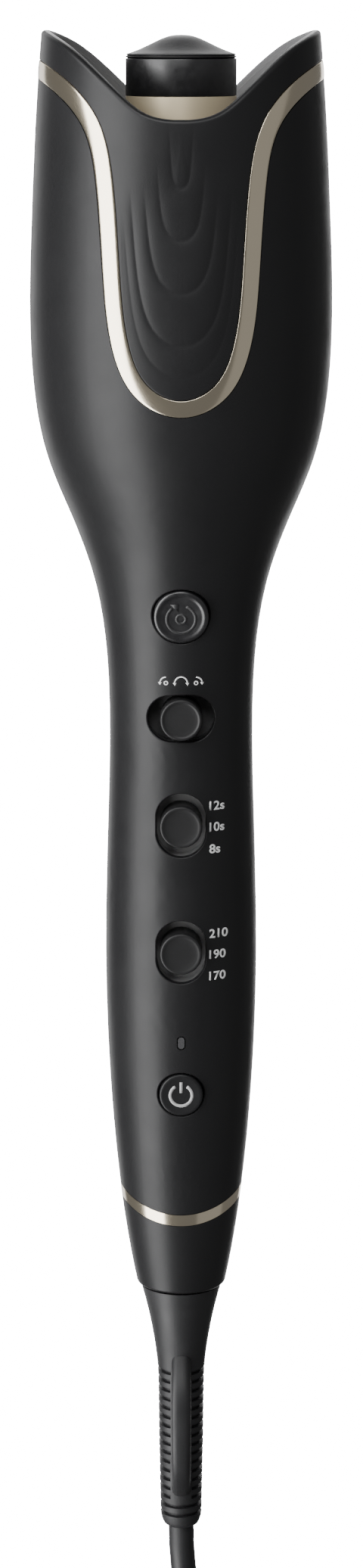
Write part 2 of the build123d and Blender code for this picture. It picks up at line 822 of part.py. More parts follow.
def slider_well(height, slot):
    """A cup behind a slot: full-round walls up to the housing and a slit floor."""
    floor_front = outline_at(height) - well_depth
    outer = (slot[0] + 2 * well_wall, slot[1] + 2 * well_wall)
    with BuildPart() as well:
        add(slot_cut(height, outer, -(floor_front - well_floor), front_reach))
        add(slot_cut(height, slot, -floor_front, front_reach - through_wall), mode=Mode.SUBTRACT)
        add(nested_body, mode=Mode.INTERSECT)
        with BuildSketch(Plane.XZ.offset(floor_front - well_floor)):
            with Locations((0, height)):
                Rectangle(*along_slot(slot, stem_track, stem_room))
        extrude(amount=well_floor, mode=Mode.SUBTRACT)
    return well


def slide_switch(height, slot):
    """A slide switch between the board and a well, with a groove for the knob's stem."""
    back = outline_at(height) - well_depth - well_floor
    with BuildPart() as switch:
        with BuildSketch(Plane.XZ.offset(-board_front)):
            with Locations((0, height)):
                Rectangle(*along_slot(slot, max(switch_size), min(switch_size)))
        extrude(amount=back + board_front)
        with BuildSketch(Plane.XZ.offset(back)):
            with Locations((0, height)):
                Rectangle(*along_slot(slot, stem_track, stem_room))
        extrude(amount=-(stem_reach + knob_floor_gap), mode=Mode.SUBTRACT)
    return switch


sliders = [
    ("direction", direction_height, direction_slot, direction_knob_radius),
    ("time", time_height, vertical_slot, vertical_knob_radius),
    ("temperature", temperature_height, vertical_slot, vertical_knob_radius),
]
for name, height, slot, radius in sliders:
    export(slider_knob(height, radius), f"{name}_knob")
    export(slider_well(height, slot), f"{name}_well")
    export(slide_switch(height, slot), f"{name}_switch")

# ---------------------------------------------------------------- circuit board
board_back = board_front + board_thickness
with BuildPart() as main_board:
    with BuildSketch(Plane.XZ.offset(-board_back)):
        with Locations((0, (board_top + board_bottom) / 2)):
            RectangleRounded(board_width, board_top - board_bottom, board_round)
        with Locations((0, screw_heights[0])):
            Circle(screw_post_radius + button_gap, mode=Mode.SUBTRACT)
    extrude(amount=board_thickness)
export(main_board, "main_board")

for name, height in (("start_switch", start_height), ("power_switch", power_height)):
    with BuildPart() as tact_switch:
        with BuildSketch(Plane.XZ.offset(-board_front)):
            with Locations((0, height)):
                Rectangle(tact_size, tact_size)
        extrude(amount=tact_height)
        with BuildSketch(Plane.XZ.offset(-board_front + tact_height)):
            with Locations((0, height)):
                Circle(plunger_radius)
        extrude(amount=plunger_height)
    export(tact_switch, name)

with BuildPart() as lamp:
    with BuildSketch(Plane.XZ.offset(-board_front)):
        with Locations((0, lamp_height)):
            Rectangle(*lamp_size)
    extrude(amount=lamp_thickness)
export(lamp, "lamp")

lamp_tip = board_front - lamp_thickness
light_pipe_end = -(outline_at(lamp_height) + lens_proud)
light_pipe = slot_cut(lamp_height, lens_size, lamp_tip, light_pipe_end)
light_pipe.label = "light_pipe"
export_step(light_pipe, "parts/light_pipe.step")

with BuildPart() as power_module:
    with BuildSketch(Plane.XZ.offset(-board_back)):
        with Locations((0, module_height)):
            RectangleRounded(*module_size, module_round)
    extrude(amount=-module_thickness)
export(power_module, "power_module")

# ---------------------------------------------------------------- tail cap and swivel
floor_top = handle_foot + tail_floor
flange_bottom = floor_top + swivel_play
flange_top = flange_bottom + swivel_flange
retainer_bottom = flange_top + swivel_play
neck_hole = swivel_neck_radius + running_clearance
with BuildPart() as tail_cap:
    add(outer_body)
    tail_cap_top = tail_ring_middle - tail_ring_width - seam_gap
    extrude(tail_region(tail_cap_top), amount=2 * cut_depth, mode=Mode.SUBTRACT)
    fillet(tail_cap.edges().group_by(Axis.Z)[0], tail_round)
    with BuildSketch(Plane.XY.offset(floor_top)):
        Circle(tail_ledge_radius)
    extrude(amount=retainer_bottom - floor_top, mode=Mode.SUBTRACT)
    with BuildSketch(Plane.XY.offset(handle_foot)):
        Circle(neck_hole)
    extrude(amount=tail_floor, mode=Mode.SUBTRACT)
    add(inner_body.split(Plane.XY.offset(retainer_bottom), keep=Keep.TOP), mode=Mode.SUBTRACT)
export(tail_cap, "tail_cap")

retainer_radius = outline_at(retainer_bottom) - housing_wall - inside_clearance
with BuildPart() as swivel_retainer:
    with BuildSketch(Plane.XY.offset(retainer_bottom)):
        Circle(retainer_radius)
        Circle(slip_ring_radius + 2 * inside_clearance, mode=Mode.SUBTRACT)
    extrude(amount=retainer_thickness)
export(swivel_retainer, "swivel_retainer")

relief_outline = [relief_point(point) for point in relief_profile]
relief_top = relief_outline[0][1]
with BuildPart() as swivel_core:
    with BuildSketch(Plane.XY.offset(flange_bottom)):
        Circle(swivel_flange_radius)
    extrude(amount=swivel_flange)
    with BuildSketch(Plane.XY.offset(relief_top)):
        Circle(swivel_neck_radius)
    extrude(amount=flange_bottom - relief_top)
    with BuildSketch(Plane.XY.offset(core_tip)):
        Circle(core_radius)
    extrude(amount=relief_top - core_tip)
export(swivel_core, "swivel_core")

with BuildPart() as slip_rings:
    with BuildSketch(Plane.XY.offset(flange_top)):
        Circle(slip_ring_radius)
    extrude(amount=swivel_play + retainer_thickness)
export(slip_rings, "slip_rings")

# ---------------------------------------------------------------- strain relief with its loop
with BuildPart() as strain_relief:
    with BuildSketch(Plane.XZ):
        with BuildLine():
            Spline(*relief_outline)
            ThreePointArc(relief_outline[-1], relief_point(relief_end_bulge),
                          (relief_end_radius, relief_end))
            Polyline((relief_end_radius, relief_end), (0, relief_end), (0, core_tip),
                     (core_radius, core_tip), (core_radius, relief_top), relief_outline[0])
        make_face()
    revolve(axis=Axis.Z)
    for number in range(groove_count):
        share = number / (groove_count - 1)
        height = groove_first - groove_pitch * number
        bottom = sleeve_radii[0] + share * (sleeve_radii[1] - sleeve_radii[0]) - groove_depth
        with BuildSketch(Plane.XY.offset(height - groove_width / 2)):
            Circle(groove_reach)
            Circle(bottom, mode=Mode.SUBTRACT)
            if number < groove_count - full_round_grooves:
                with Locations((0, -groove_reach)):
                    Rectangle(spine_width, 2 * groove_reach, mode=Mode.SUBTRACT)
        extrude(amount=groove_width, mode=Mode.SUBTRACT)
    outer_points = [(-reach, handle_foot - down) for reach, down in loop_outer]
    inner_points = [(-reach, handle_foot - down) for reach, down in reversed(loop_inner)]
    with BuildSketch(Plane.YZ.offset(-loop_width / 2)):
        with BuildLine():
            Spline(*outer_points)
            Line(outer_points[-1], inner_points[0])
            Spline(*inner_points)
            Line(inner_points[-1], outer_points[0])
        make_face()
    extrude(amount=loop_width)
    with BuildSketch(Plane.XY.offset(core_tip)):
        Circle(core_radius)
    extrude(amount=relief_top - core_tip, mode=Mode.SUBTRACT)
export(strain_relief, "strain_relief")


# ---------------------------------------------------------------- cord, coil and plug
share_of_run = 0.45        # of the shorter run, taken by the arc at each corner


def cord_tube(points, name):
    """A cord along straight runs joined by the largest tangent arcs that the runs allow."""
    corners = [Vector(*point) for point in points]
    radii = []
    for before, corner, after in zip(corners, corners[1:], corners[2:]):
        turn = radians((corner - before).get_angle(after - corner))
        shorter = min((corner - before).length, (after - corner).length)
        radii.append(share_of_run * shorter / tan(turn / 2))
    with BuildPart() as tube:
        with BuildLine():
            path = FilletPolyline(*corners, radius=radii)
        with BuildSketch(Plane(origin=path @ 0, z_dir=path % 0)):
            Circle(cord_diameter / 2)
        sweep()
    section = pi * cord_diameter**2 / 4
    print(name, "length", round(path.length, 1), "radii", [round(radius, 1) for radius in radii],
          "volume over section times length", round(tube.part.volume / (section * path.length), 4))
    export(tube, name)
    return path.length


route_length = cord_tube(cord_route, "cord_tube")
coil_outer_turn = coil_mean_radius + (coil_columns - 1) / 2 * cord_diameter
coil_x = cord_route[-1][0] + coil_stub
coil_y = -coil_outer_turn
upper_layer = cord_route[-1][2]
lower_layer = upper_layer - (coil_layers - 1) * cord_diameter
ground = lower_layer - cord_diameter / 2
far_side = coil_y - coil_outer_turn
stub_radius = cord_diameter / 2 - stub_undersize
coil_inner_turn = coil_mean_radius - (coil_columns - 1) / 2 * cord_diameter
with BuildPart() as cord_coil:
    with BuildSketch(Plane.XY.offset(ground)):
        with Locations((coil_x, coil_y)):
            Circle(coil_outer_turn + cord_diameter / 2 + coil_side_room)
            Circle(coil_inner_turn - cord_diameter / 2 - coil_hole_room, mode=Mode.SUBTRACT)
    extrude(amount=coil_layers * cord_diameter)
    for y, z in ((0.0, upper_layer), (far_side, lower_layer)):
        with BuildSketch(Plane(origin=(coil_x - coil_stub, y, z), z_dir=(1, 0, 0))):
            Circle(stub_radius)
        extrude(amount=coil_stub)
export(cord_coil, "cord_coil")

tail_start = coil_x - coil_stub
tail_points = [(tail_start - along, far_side, lower_layer + up) for along, up in tail_runs]
tail_length = cord_tube(tail_points, "cord_tail")
coil_length = 2 * pi * coil_mean_radius * coil_turns + 2 * coil_stub
print("cord length", round(route_length + coil_length + tail_length, 1))

plug_x, plug_y, plug_z = tail_points[-1]
body_x = plug_x - plug_relief_length


def plug_plane(x):
    """Plane across the plug, looking out towards its pins."""
    return Plane(origin=(x, plug_y, plug_z), x_dir=(0, 1, 0), z_dir=(-1, 0, 0))


with BuildPart() as plug_body:
    with BuildSketch(plug_plane(plug_x)):
        Circle(cord_diameter / 2 + plug_entry_wall)
    with BuildSketch(plug_plane(body_x)):
        Circle(plug_relief_radius)
    loft()
    with BuildSketch(plug_plane(body_x)):
        RectangleRounded(*plug_neck, plug_neck_round)
    with BuildSketch(plug_plane(body_x - plug_shoulder)):
        RectangleRounded(plug_width - plug_taper, plug_thickness, plug_round)
    loft()
    with BuildSketch(plug_plane(body_x - plug_shoulder)):
        RectangleRounded(plug_width - plug_taper, plug_thickness, plug_round)
    with BuildSketch(plug_plane(body_x - plug_length)):
        RectangleRounded(plug_width, plug_thickness, plug_round)
    loft()
export(plug_body, "plug_body")

for name, side in (("plug_pin_left", -1), ("plug_pin_right", 1)):
    with BuildPart() as plug_pin:
        with BuildSketch(plug_plane(body_x - plug_length)):
            with Locations((side * plug_pin_spacing / 2, 0)):
                Circle(plug_pin_radius)
        extrude(amount=plug_pin_length)
        fillet(plug_pin.faces().sort_by(Axis.X)[0].edges(), plug_pin_radius / 2)
    export(plug_pin, name)
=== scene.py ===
"""Automatic hair curler, the looks: metres, +Z up the handle, the controls face -Y.

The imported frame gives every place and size. Each visible part gets a procedural material,
and the collar, trim, buttons, knobs, prints, strain relief and cord get meshes of their own.
"""
import json
from math import cos, pi, radians, sin, sqrt

import bmesh
import bpy
import numpy as np
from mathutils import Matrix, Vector


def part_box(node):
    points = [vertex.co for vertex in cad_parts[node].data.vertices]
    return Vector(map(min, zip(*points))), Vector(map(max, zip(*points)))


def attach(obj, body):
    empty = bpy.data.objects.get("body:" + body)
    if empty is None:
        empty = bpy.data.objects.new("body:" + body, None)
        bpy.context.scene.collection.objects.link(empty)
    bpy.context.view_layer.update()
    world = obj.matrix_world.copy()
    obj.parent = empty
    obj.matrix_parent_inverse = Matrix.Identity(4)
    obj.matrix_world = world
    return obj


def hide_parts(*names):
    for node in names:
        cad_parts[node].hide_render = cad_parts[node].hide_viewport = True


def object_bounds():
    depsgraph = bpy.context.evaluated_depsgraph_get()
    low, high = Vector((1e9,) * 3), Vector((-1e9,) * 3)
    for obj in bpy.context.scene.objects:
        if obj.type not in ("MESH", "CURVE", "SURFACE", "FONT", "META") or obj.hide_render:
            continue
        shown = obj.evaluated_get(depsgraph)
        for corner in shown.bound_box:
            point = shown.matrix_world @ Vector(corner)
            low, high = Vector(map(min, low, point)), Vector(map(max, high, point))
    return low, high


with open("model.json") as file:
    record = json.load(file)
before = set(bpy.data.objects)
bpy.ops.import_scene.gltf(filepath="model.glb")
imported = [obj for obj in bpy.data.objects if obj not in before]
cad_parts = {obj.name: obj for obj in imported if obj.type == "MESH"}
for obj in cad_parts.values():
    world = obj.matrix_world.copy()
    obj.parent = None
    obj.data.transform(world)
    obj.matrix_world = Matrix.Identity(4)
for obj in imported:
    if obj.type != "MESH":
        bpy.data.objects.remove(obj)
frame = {"nodes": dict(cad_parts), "record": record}
cad_low, cad_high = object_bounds()
nodes = frame["nodes"]
MM = 0.001


# ------------------------ camera, floor and light
CAMERA_DISTANCE = 0.9285       # from the handle's axis
CAMERA_ABOVE_TIPS = 0.0055
CAMERA_PITCH = radians(12.2)   # looking down
CAMERA_LENS = 82.5
CAMERA_ASIDE = 0.0001
SENSOR_WIDTH = 36.0
CLIP_NEAR = 0.01
CLIP_FAR = 60.0
FLOOR_SIZE = 24.0
FLOOR_BELOW = 0.0005           # the floor's gap below the lowest part
WALL_HEIGHT = 14.0
FLOOR_GLOW = 22.0
WORLD_GLOW = 0.16


def new_object(name, data):
    """A new object, put in the scene."""
    made = bpy.data.objects.new(name, data)
    bpy.context.scene.collection.objects.link(made)
    return made


def add_camera():
    """In front of the controls and level with the chamber's tips, looking a little down."""
    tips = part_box("rim_collar")[1].z
    data = bpy.data.cameras.new("camera")
    data.lens = CAMERA_LENS
    data.sensor_width = SENSOR_WIDTH
    data.clip_start = CLIP_NEAR
    data.clip_end = CLIP_FAR
    camera = new_object("camera", data)
    camera.location = (CAMERA_ASIDE, -CAMERA_DISTANCE, tips + CAMERA_ABOVE_TIPS)
    camera.rotation_euler = (pi / 2 - CAMERA_PITCH, 0, 0)
    bpy.context.scene.camera = camera


def add_area_light(name, azimuth, height, distance, size, power, target_height):
    """A soft rectangular light; azimuth 0 is in front of the controls, positive towards +X."""
    data = bpy.data.lights.new(name, "AREA")
    data.shape = "RECTANGLE"
    data.size, data.size_y = size
    data.energy = power
    light = new_object(name, data)
    angle = radians(azimuth)
    light.location = (distance * sin(angle), -distance * cos(angle), height)
    light.visible_camera = False
    aim = Vector((0, 0, target_height)) - light.location
    light.rotation_euler = aim.to_track_quat("-Z", "Y").to_euler()


def add_stage_mesh(name, corners, faces, material):
    """A stage surface; it lights nothing, so the object is lit by the lamps and the world."""
    mesh = bpy.data.meshes.new(name)
    mesh.from_pydata(corners, [], faces)
    stage = new_object(name, mesh)
    mesh.materials.append(material)
    stage.visible_diffuse = False
    stage.visible_glossy = False
    stage.visible_shadow = False


def floor_material():
    """Pale paint that glows evenly."""
    material = bpy.data.materials.new("floor_paint")
    material.use_nodes = True
    tree = material.node_tree
    shader = tree.nodes["Principled BSDF"]
    shader.inputs["Base Color"].default_value = (0.8, 0.8, 0.8, 1)
    shader.inputs["Roughness"].default_value = 0.9
    shader.inputs["Emission Color"].default_value = (1, 1, 1, 1)
    shader.inputs["Emission Strength"].default_value = FLOOR_GLOW
    return material


def add_stage():
    """A floor, and plain walls far away on all four sides."""
    ground = cad_low.z - FLOOR_BELOW
    half = FLOOR_SIZE / 2
    paint = floor_material()
    square = [(-half, -half), (half, -half), (half, half), (-half, half)]
    add_stage_mesh("floor", [(x, y, ground) for x, y in square], [(0, 1, 2, 3)], paint)
    corners = [(x, y, level) for level in (ground, ground + WALL_HEIGHT) for x, y in square]
    walls = [(k, (k + 1) % 4, 4 + (k + 1) % 4, 4 + k) for k in range(4)]
    add_stage_mesh("backdrop", corners, walls, paint)


def add_world():
    """Faint even light from all round."""
    world = bpy.data.worlds.new("studio")
    world.use_nodes = True
    background = world.node_tree.nodes["Background"]
    background.inputs["Color"].default_value = (1, 1, 1, 1)
    background.inputs["Strength"].default_value = WORLD_GLOW
    bpy.context.scene.world = world


def add_lights():
    """A strong strip at the front left, weak edges and fills, and one lamp above the mouth."""
    add_area_light("key_strip", -57, -0.25, 1.0, (0.78, 2.6), 45, -0.25)
    add_area_light("left_edge", -152, 0.0, 0.9, (0.36, 2.0), 3.4, 0.0)
    add_area_light("right_edge", 160, 0.0, 0.9, (0.22, 2.0), 3, 0.0)
    add_area_light("right_fill", 62, -0.1, 1.2, (1.3, 2.2), 1.2, -0.1)
    add_area_light("back_strip", 181, 0.0, 1.0, (0.30, 2.0), 9, 0.0)
    add_area_light("top", -6, 0.95, 0.85, (0.6, 0.5), 7.0, 0.19)


# ------------------------ materials
def shader_tree(name, colour, roughness, metallic=0.0):
    """A new material with its tree and its Principled shader."""
    material = bpy.data.materials.new(name)
    material.use_nodes = True
    shader = material.node_tree.nodes["Principled BSDF"]
    shader.inputs["Base Color"].default_value = (*colour, 1)
    shader.inputs["Roughness"].default_value = roughness
    shader.inputs["Metallic"].default_value = metallic
    return material, material.node_tree, shader


def object_noise(tree, scale, detail=2.0, stretch=None):
    """Noise in the object's own metres; stretch scales the three axes."""
    place = tree.nodes.new("ShaderNodeTexCoord")
    noise = tree.nodes.new("ShaderNodeTexNoise")
    noise.inputs["Scale"].default_value = scale
    noise.inputs["Detail"].default_value = detail
    if stretch is None:
        tree.links.new(place.outputs["Object"], noise.inputs["Vector"])
    else:
        mapping = tree.nodes.new("ShaderNodeMapping")
        mapping.inputs["Scale"].default_value = stretch
        tree.links.new(place.outputs["Object"], mapping.inputs["Vector"])
        tree.links.new(mapping.outputs["Vector"], noise.inputs["Vector"])
    return noise.outputs["Fac"]


def vary_roughness(tree, shader, factor, low, high):
    """Roughness between low and high, following the middle of the noise."""
    span = tree.nodes.new("ShaderNodeMapRange")
    span.inputs["From Min"].default_value = 0.3
    span.inputs["From Max"].default_value = 0.7
    span.inputs["To Min"].default_value = low
    span.inputs["To Max"].default_value = high
    tree.links.new(factor, span.inputs["Value"])
    tree.links.new(span.outputs["Result"], shader.inputs["Roughness"])


def vary_colour(tree, shader, factor, dark, light):
    """Base colour between dark and light, following the noise."""
    mix = tree.nodes.new("ShaderNodeMix")
    mix.data_type = "RGBA"
    mix.inputs["A"].default_value = (*dark, 1)
    mix.inputs["B"].default_value = (*light, 1)
    tree.links.new(factor, mix.inputs["Factor"])
    tree.links.new(mix.outputs["Result"], shader.inputs["Base Color"])


def add_bump(tree, shader, factor, depth):
    """Depth is the height of the grain in metres."""
    bump = tree.nodes.new("ShaderNodeBump")
    bump.inputs["Strength"].default_value = 1.0
    bump.inputs["Distance"].default_value = depth
    tree.links.new(factor, bump.inputs["Height"])
    tree.links.new(bump.outputs["Normal"], shader.inputs["Normal"])


def soft_touch(name, dark, light, low, high, grain=2600.0, depth=0.000012, specular=0.5):
    """Fine-grained soft-touch plastic with faint cloudiness in its sheen."""
    material, tree, shader = shader_tree(name, light, high)
    vary_colour(tree, shader, object_noise(tree, 60.0, 3.0), dark, light)
    vary_roughness(tree, shader, object_noise(tree, 90.0, 4.0), low, high)
    add_bump(tree, shader, object_noise(tree, grain, 1.0), depth)
    shader.inputs["Specular IOR Level"].default_value = specular
    return material


def gloss(name, colour, roughness, coat_roughness):
    """Polished plastic under a thin clear coat, with the faintest waviness."""
    material, tree, shader = shader_tree(name, colour, roughness)
    vary_roughness(tree, shader, object_noise(tree, 400.0, 3.0), roughness * 0.8, roughness * 1.5)
    add_bump(tree, shader, object_noise(tree, 120.0, 1.0), 0.000004)
    shader.inputs["Coat Weight"].default_value = 0.6
    shader.inputs["Coat Roughness"].default_value = coat_roughness
    return material


def satin_metal(name, dark, light, low, high, grain=3000.0, stretch=(1, 1, 1), depth=0.0000015):
    """Coated or brushed metal; stretch lengthens its fine streaks along an axis."""
    material, tree, shader = shader_tree(name, light, high, metallic=1.0)
    streaks = object_noise(tree, grain, 2.0, stretch)
    vary_colour(tree, shader, object_noise(tree, 70.0, 2.0), dark, light)
    vary_roughness(tree, shader, streaks, low, high)
    add_bump(tree, shader, streaks, depth)
    return material


def barrel_coating():
    """Champagne coating over the barrel: part metal, part satin lacquer, with fine turned streaks."""
    dark, light = (0.60, 0.51, 0.345), (0.67, 0.575, 0.40)
    material, tree, shader = shader_tree("barrel_coating", (0.66, 0.57, 0.43), 0.42, metallic=0.45)
    streaks = object_noise(tree, 900.0, 3.0, (0.15, 0.15, 3.0))
    vary_colour(tree, shader, object_noise(tree, 70.0, 2.0), dark, light)
    vary_roughness(tree, shader, streaks, 0.36, 0.48)
    add_bump(tree, shader, streaks, 0.000004)
    return material


def painted(name, colour):
    """Printing ink, slightly uneven."""
    material, tree, shader = shader_tree(name, colour, 0.5)
    thin = tuple(0.88 * c for c in colour)
    vary_roughness(tree, shader, object_noise(tree, 3000.0, 2.0), 0.42, 0.6)
    vary_colour(tree, shader, object_noise(tree, 2200.0, 2.0), thin, colour)
    return material


# Slot: dark and light colour, lowest and highest roughness, then what differs.
PLASTICS = {
    "body_plastic": ((0.009, 0.009, 0.0097), (0.012, 0.012, 0.0128), 0.37, 0.43, {"specular": 0.3}),
    "cap_plastic": ((0.011, 0.011, 0.012), (0.015, 0.015, 0.016), 0.40, 0.48, {}),
    # liner_plastic is pale grey as painted light: the chamber's and collar's inner walls get the
    # brightness of the light reaching them.
    "liner_plastic": ((0.19, 0.19, 0.193), (0.22, 0.22, 0.223), 0.45, 0.55, {}),
    "knob_plastic": ((0.009, 0.009, 0.0095), (0.012, 0.012, 0.0125), 0.42, 0.50,
                     {"grain": 3500.0, "specular": 0.4}),
    # well_plastic is pale grey as painted light on the wells' floors, which lie in shade; dark_well is
    # the plastic without that painted light.
    "well_plastic": ((0.22, 0.22, 0.222), (0.26, 0.26, 0.262), 0.6, 0.75, {}),
    "dark_well": ((0.035, 0.035, 0.036), (0.045, 0.045, 0.046), 0.6, 0.75, {}),
    "switch_plastic": ((0.012, 0.012, 0.013), (0.020, 0.020, 0.022), 0.5, 0.6, {}),
    "cord_rubber": ((0.008, 0.008, 0.009), (0.013, 0.013, 0.014), 0.45, 0.60, {"grain": 1500.0}),
    "plug_plastic": ((0.008, 0.008, 0.009), (0.012, 0.012, 0.013), 0.38, 0.48, {"grain": 1200.0}),
    "nylon": ((0.55, 0.54, 0.50), (0.62, 0.61, 0.57), 0.5, 0.6, {}),
    "gear_nylon": ((0.68, 0.66, 0.58), (0.74, 0.72, 0.64), 0.42, 0.5, {}),
    "ceramic_insulator": ((0.68, 0.66, 0.60), (0.76, 0.74, 0.70), 0.6, 0.7, {}),
    "board": ((0.010, 0.09, 0.035), (0.014, 0.12, 0.05), 0.3, 0.42, {}),
}
METALS = {
    "trim_metal": ((0.84, 0.745, 0.575), (0.87, 0.775, 0.60), 0.15, 0.19,
                   {"grain": 7000.0, "depth": 0.0000004}),
    "heater_aluminium": ((0.62, 0.63, 0.64), (0.72, 0.73, 0.74), 0.3, 0.42, {}),
    "steel": ((0.42, 0.42, 0.43), (0.52, 0.52, 0.53), 0.25, 0.4, {"stretch": (1, 1, 0.1)}),
    "motor_steel": ((0.38, 0.39, 0.40), (0.48, 0.49, 0.50), 0.22, 0.36, {}),
    "bush_brass": ((0.60, 0.44, 0.20), (0.72, 0.55, 0.27), 0.25, 0.38, {}),
    "pin_metal": ((0.58, 0.56, 0.50), (0.68, 0.66, 0.60), 0.18, 0.3, {"stretch": (0.1, 1, 1)}),
}
MATERIAL_NAMES = {
    "body_plastic": "soft_touch", "ceramic_insulator": "ceramic", "heater_aluminium": "milled_aluminium",
    "steel": "turned_steel", "motor_steel": "plated_steel", "bush_brass": "turned_brass",
    "pin_metal": "nickel",
}


def make_materials():
    """Every material by the name of its slot; the prints and dark_well have names of their own."""
    made = {}
    for finish, table in ((soft_touch, PLASTICS), (satin_metal, METALS)):
        for slot, (*values, differs) in table.items():
            made[slot] = finish(MATERIAL_NAMES.get(slot, slot), *values, **differs)
    made["barrel_metal"] = barrel_coating()
    made["gloss_black"] = gloss("gloss_black", (0.006, 0.006, 0.007), 0.36, 0.35)
    made["button_gloss"] = gloss("button_gloss", (0.008, 0.008, 0.009), 0.32, 0.3)
    made["lens"] = gloss("lens", (0.05, 0.05, 0.052), 0.25, 0.1)
    made["print_white"] = painted("print_white", (0.82, 0.82, 0.82))
    made["print_grey"] = painted("print_grey", (0.022, 0.022, 0.023))
    made["print_light"] = painted("print_light", (0.42, 0.42, 0.42))
    return made


def dress_nodes(materials):
    """Each CAD node takes the material of its slot; the direction slider's well takes dark_well, without
    the wells' painted light.
    """
    for entry in frame["record"]["subparts"]:
        node = nodes[entry["node"]]
        node.data.materials.clear()
        node.data.materials.append(materials[entry["material_slot"]])
    # the direction well is left without the painted light of well_plastic
    nodes["direction_well"].data.materials[0] = materials["dark_well"]


# ------------------------ cord
CORD_DIAMETER = 0.007
CORD_ROUTE = [
    (0.0, 0.0, -0.196), (0.0, 0.0, -0.2175), (0.01075, 0.0, -0.2361), (0.0298, 0.0, -0.2471),
    (0.0513, 0.0, -0.2471),
]
COIL_CENTRE = (0.0783, -0.0495)
COIL_OUTER_TURN = 0.0495
COIL_INNER_TURN = 0.0285
COIL_UPPER = -0.2471
COIL_LOWER = -0.2541
COIL_TURNS = 7.5
CROSSING_SQUEEZE = 0.0026      # the turn that drops to the lower layer passes inside the others
POINTS_PER_TURN = 16
DROP_START = 0.2               # of that turn, and how much of it the drop takes
DROP_SHARE = 0.6
TAIL_ROUTE = [
    (0.0513, -0.099, -0.2541), (0.0431, -0.099, -0.2541), (0.0304, -0.099, -0.25075),
    (0.0222, -0.099, -0.25075),
]


def smooth(share):
    """Eases from 0 to 1 as share does; numbers or arrays."""
    share = np.clip(share, 0, 1)
    return share * share * (3 - 2 * share)


def coil_points():
    """Clockwise turns: inwards on the upper layer, down, then outwards on the lower one."""
    layer_turns = round((COIL_OUTER_TURN - COIL_INNER_TURN) / CORD_DIAMETER)
    points = []
    for step in range(int(COIL_TURNS * POINTS_PER_TURN) + 1):
        turn = step / POINTS_PER_TURN
        height = COIL_UPPER
        if turn <= layer_turns:
            radius = COIL_OUTER_TURN - CORD_DIAMETER * turn
        elif turn <= layer_turns + 1:
            drop = turn - layer_turns
            radius = COIL_INNER_TURN - CROSSING_SQUEEZE * sin(pi * drop)
            eased = float(smooth((drop - DROP_START) / DROP_SHARE))
            height = COIL_UPPER + (COIL_LOWER - COIL_UPPER) * eased
        else:
            radius = min(COIL_OUTER_TURN, COIL_INNER_TURN + CORD_DIAMETER * (turn - layer_turns - 1))
            height = COIL_LOWER
        angle = pi / 2 - 2 * pi * turn
        x = COIL_CENTRE[0] + radius * cos(angle)
        y = COIL_CENTRE[1] + radius * sin(angle)
        points.append((x, y, height))
    return points


def add_cord(materials):
    """The whole mains cord as one curve, from the strain relief's end to the plug."""
    points = CORD_ROUTE + coil_points() + TAIL_ROUTE
    curve = bpy.data.curves.new("cord", "CURVE")
    curve.dimensions = "3D"
    curve.bevel_depth = CORD_DIAMETER / 2
    curve.bevel_resolution = 6
    curve.resolution_u = 6
    curve.use_fill_caps = True
    spline = curve.splines.new("NURBS")
    spline.points.add(len(points) - 1)
    for point, place in zip(spline.points, points):
        point.co = (*place, 1.0)
    spline.order_u = 3
    spline.use_endpoint_u = True
    cord = new_object("mains_cord", curve)
    cord.data.materials.append(materials["cord_rubber"])
    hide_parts("cord_tube", "cord_coil", "cord_tail")
    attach(cord, "swivel")


# ------------------------ shared shapes
PROFILE_STEP = 3 * MM
PROFILE_SLACK = 0.6 * MM


def spline_through(knots, values):
    """A smooth curve through values at rising knots, as a function of arrays."""
    count = len(knots)
    step = np.diff(knots)
    system = np.eye(count)
    right = np.zeros(count)
    for k in range(1, count - 1):
        system[k, k - 1:k + 2] = (step[k - 1], 2 * (step[k - 1] + step[k]), step[k])
        right[k] = 6 * ((values[k + 1] - values[k]) / step[k] - (values[k] - values[k - 1]) / step[k - 1])
    bend = np.linalg.solve(system, right)

    def curve(places):
        places = np.asarray(places, dtype=float)
        k = np.clip(np.searchsorted(knots, places) - 1, 0, count - 2)
        width = step[k]
        after = knots[k + 1] - places
        before = places - knots[k]
        start = (values[k] / width - bend[k] * width / 6) * after
        end = (values[k + 1] / width - bend[k + 1] * width / 6) * before
        return (bend[k] * after**3 + bend[k + 1] * before**3) / (6 * width) + start + end

    return curve


def outer_profile():
    """Radius of the body's outer surface as a function of height, read from the CAD nodes."""
    spots = []
    for name in ("rim_collar", "trim_band", "front_housing", "back_housing"):
        mesh = nodes[name].data
        places = np.empty(3 * len(mesh.vertices))
        mesh.vertices.foreach_get("co", places)
        places = places.reshape(-1, 3)
        spots.append(np.column_stack((places[:, 2], np.hypot(places[:, 0], places[:, 1]))))
    spots = np.vstack(spots)
    found = []
    for level in np.arange(spots[:, 0].min(), spots[:, 0].max(), PROFILE_STEP):
        near = spots[(spots[:, 0] >= level) & (spots[:, 0] < level + PROFILE_STEP)]
        if len(near):
            found.append(near[near[:, 1].argmax()])
    kept = [found[0]]
    for before, spot, after in zip(found, found[1:], found[2:]):
        on_surface = spot[1] > min(before[1], after[1]) - PROFILE_SLACK
        if on_surface and spot[0] - kept[-1][0] > PROFILE_STEP / 2:
            kept.append(spot)
    kept.append(found[-1])
    kept = np.array(kept)
    return spline_through(kept[:, 0], kept[:, 1])


radius_at = outer_profile()


def on_body(x, z, lift=0.0):
    """Point on the front of the body at x and z, lifted off its surface."""
    reach = radius_at(z) + lift
    return np.stack((x, -np.sqrt(np.maximum(reach**2 - x**2, 0)), z), axis=-1)


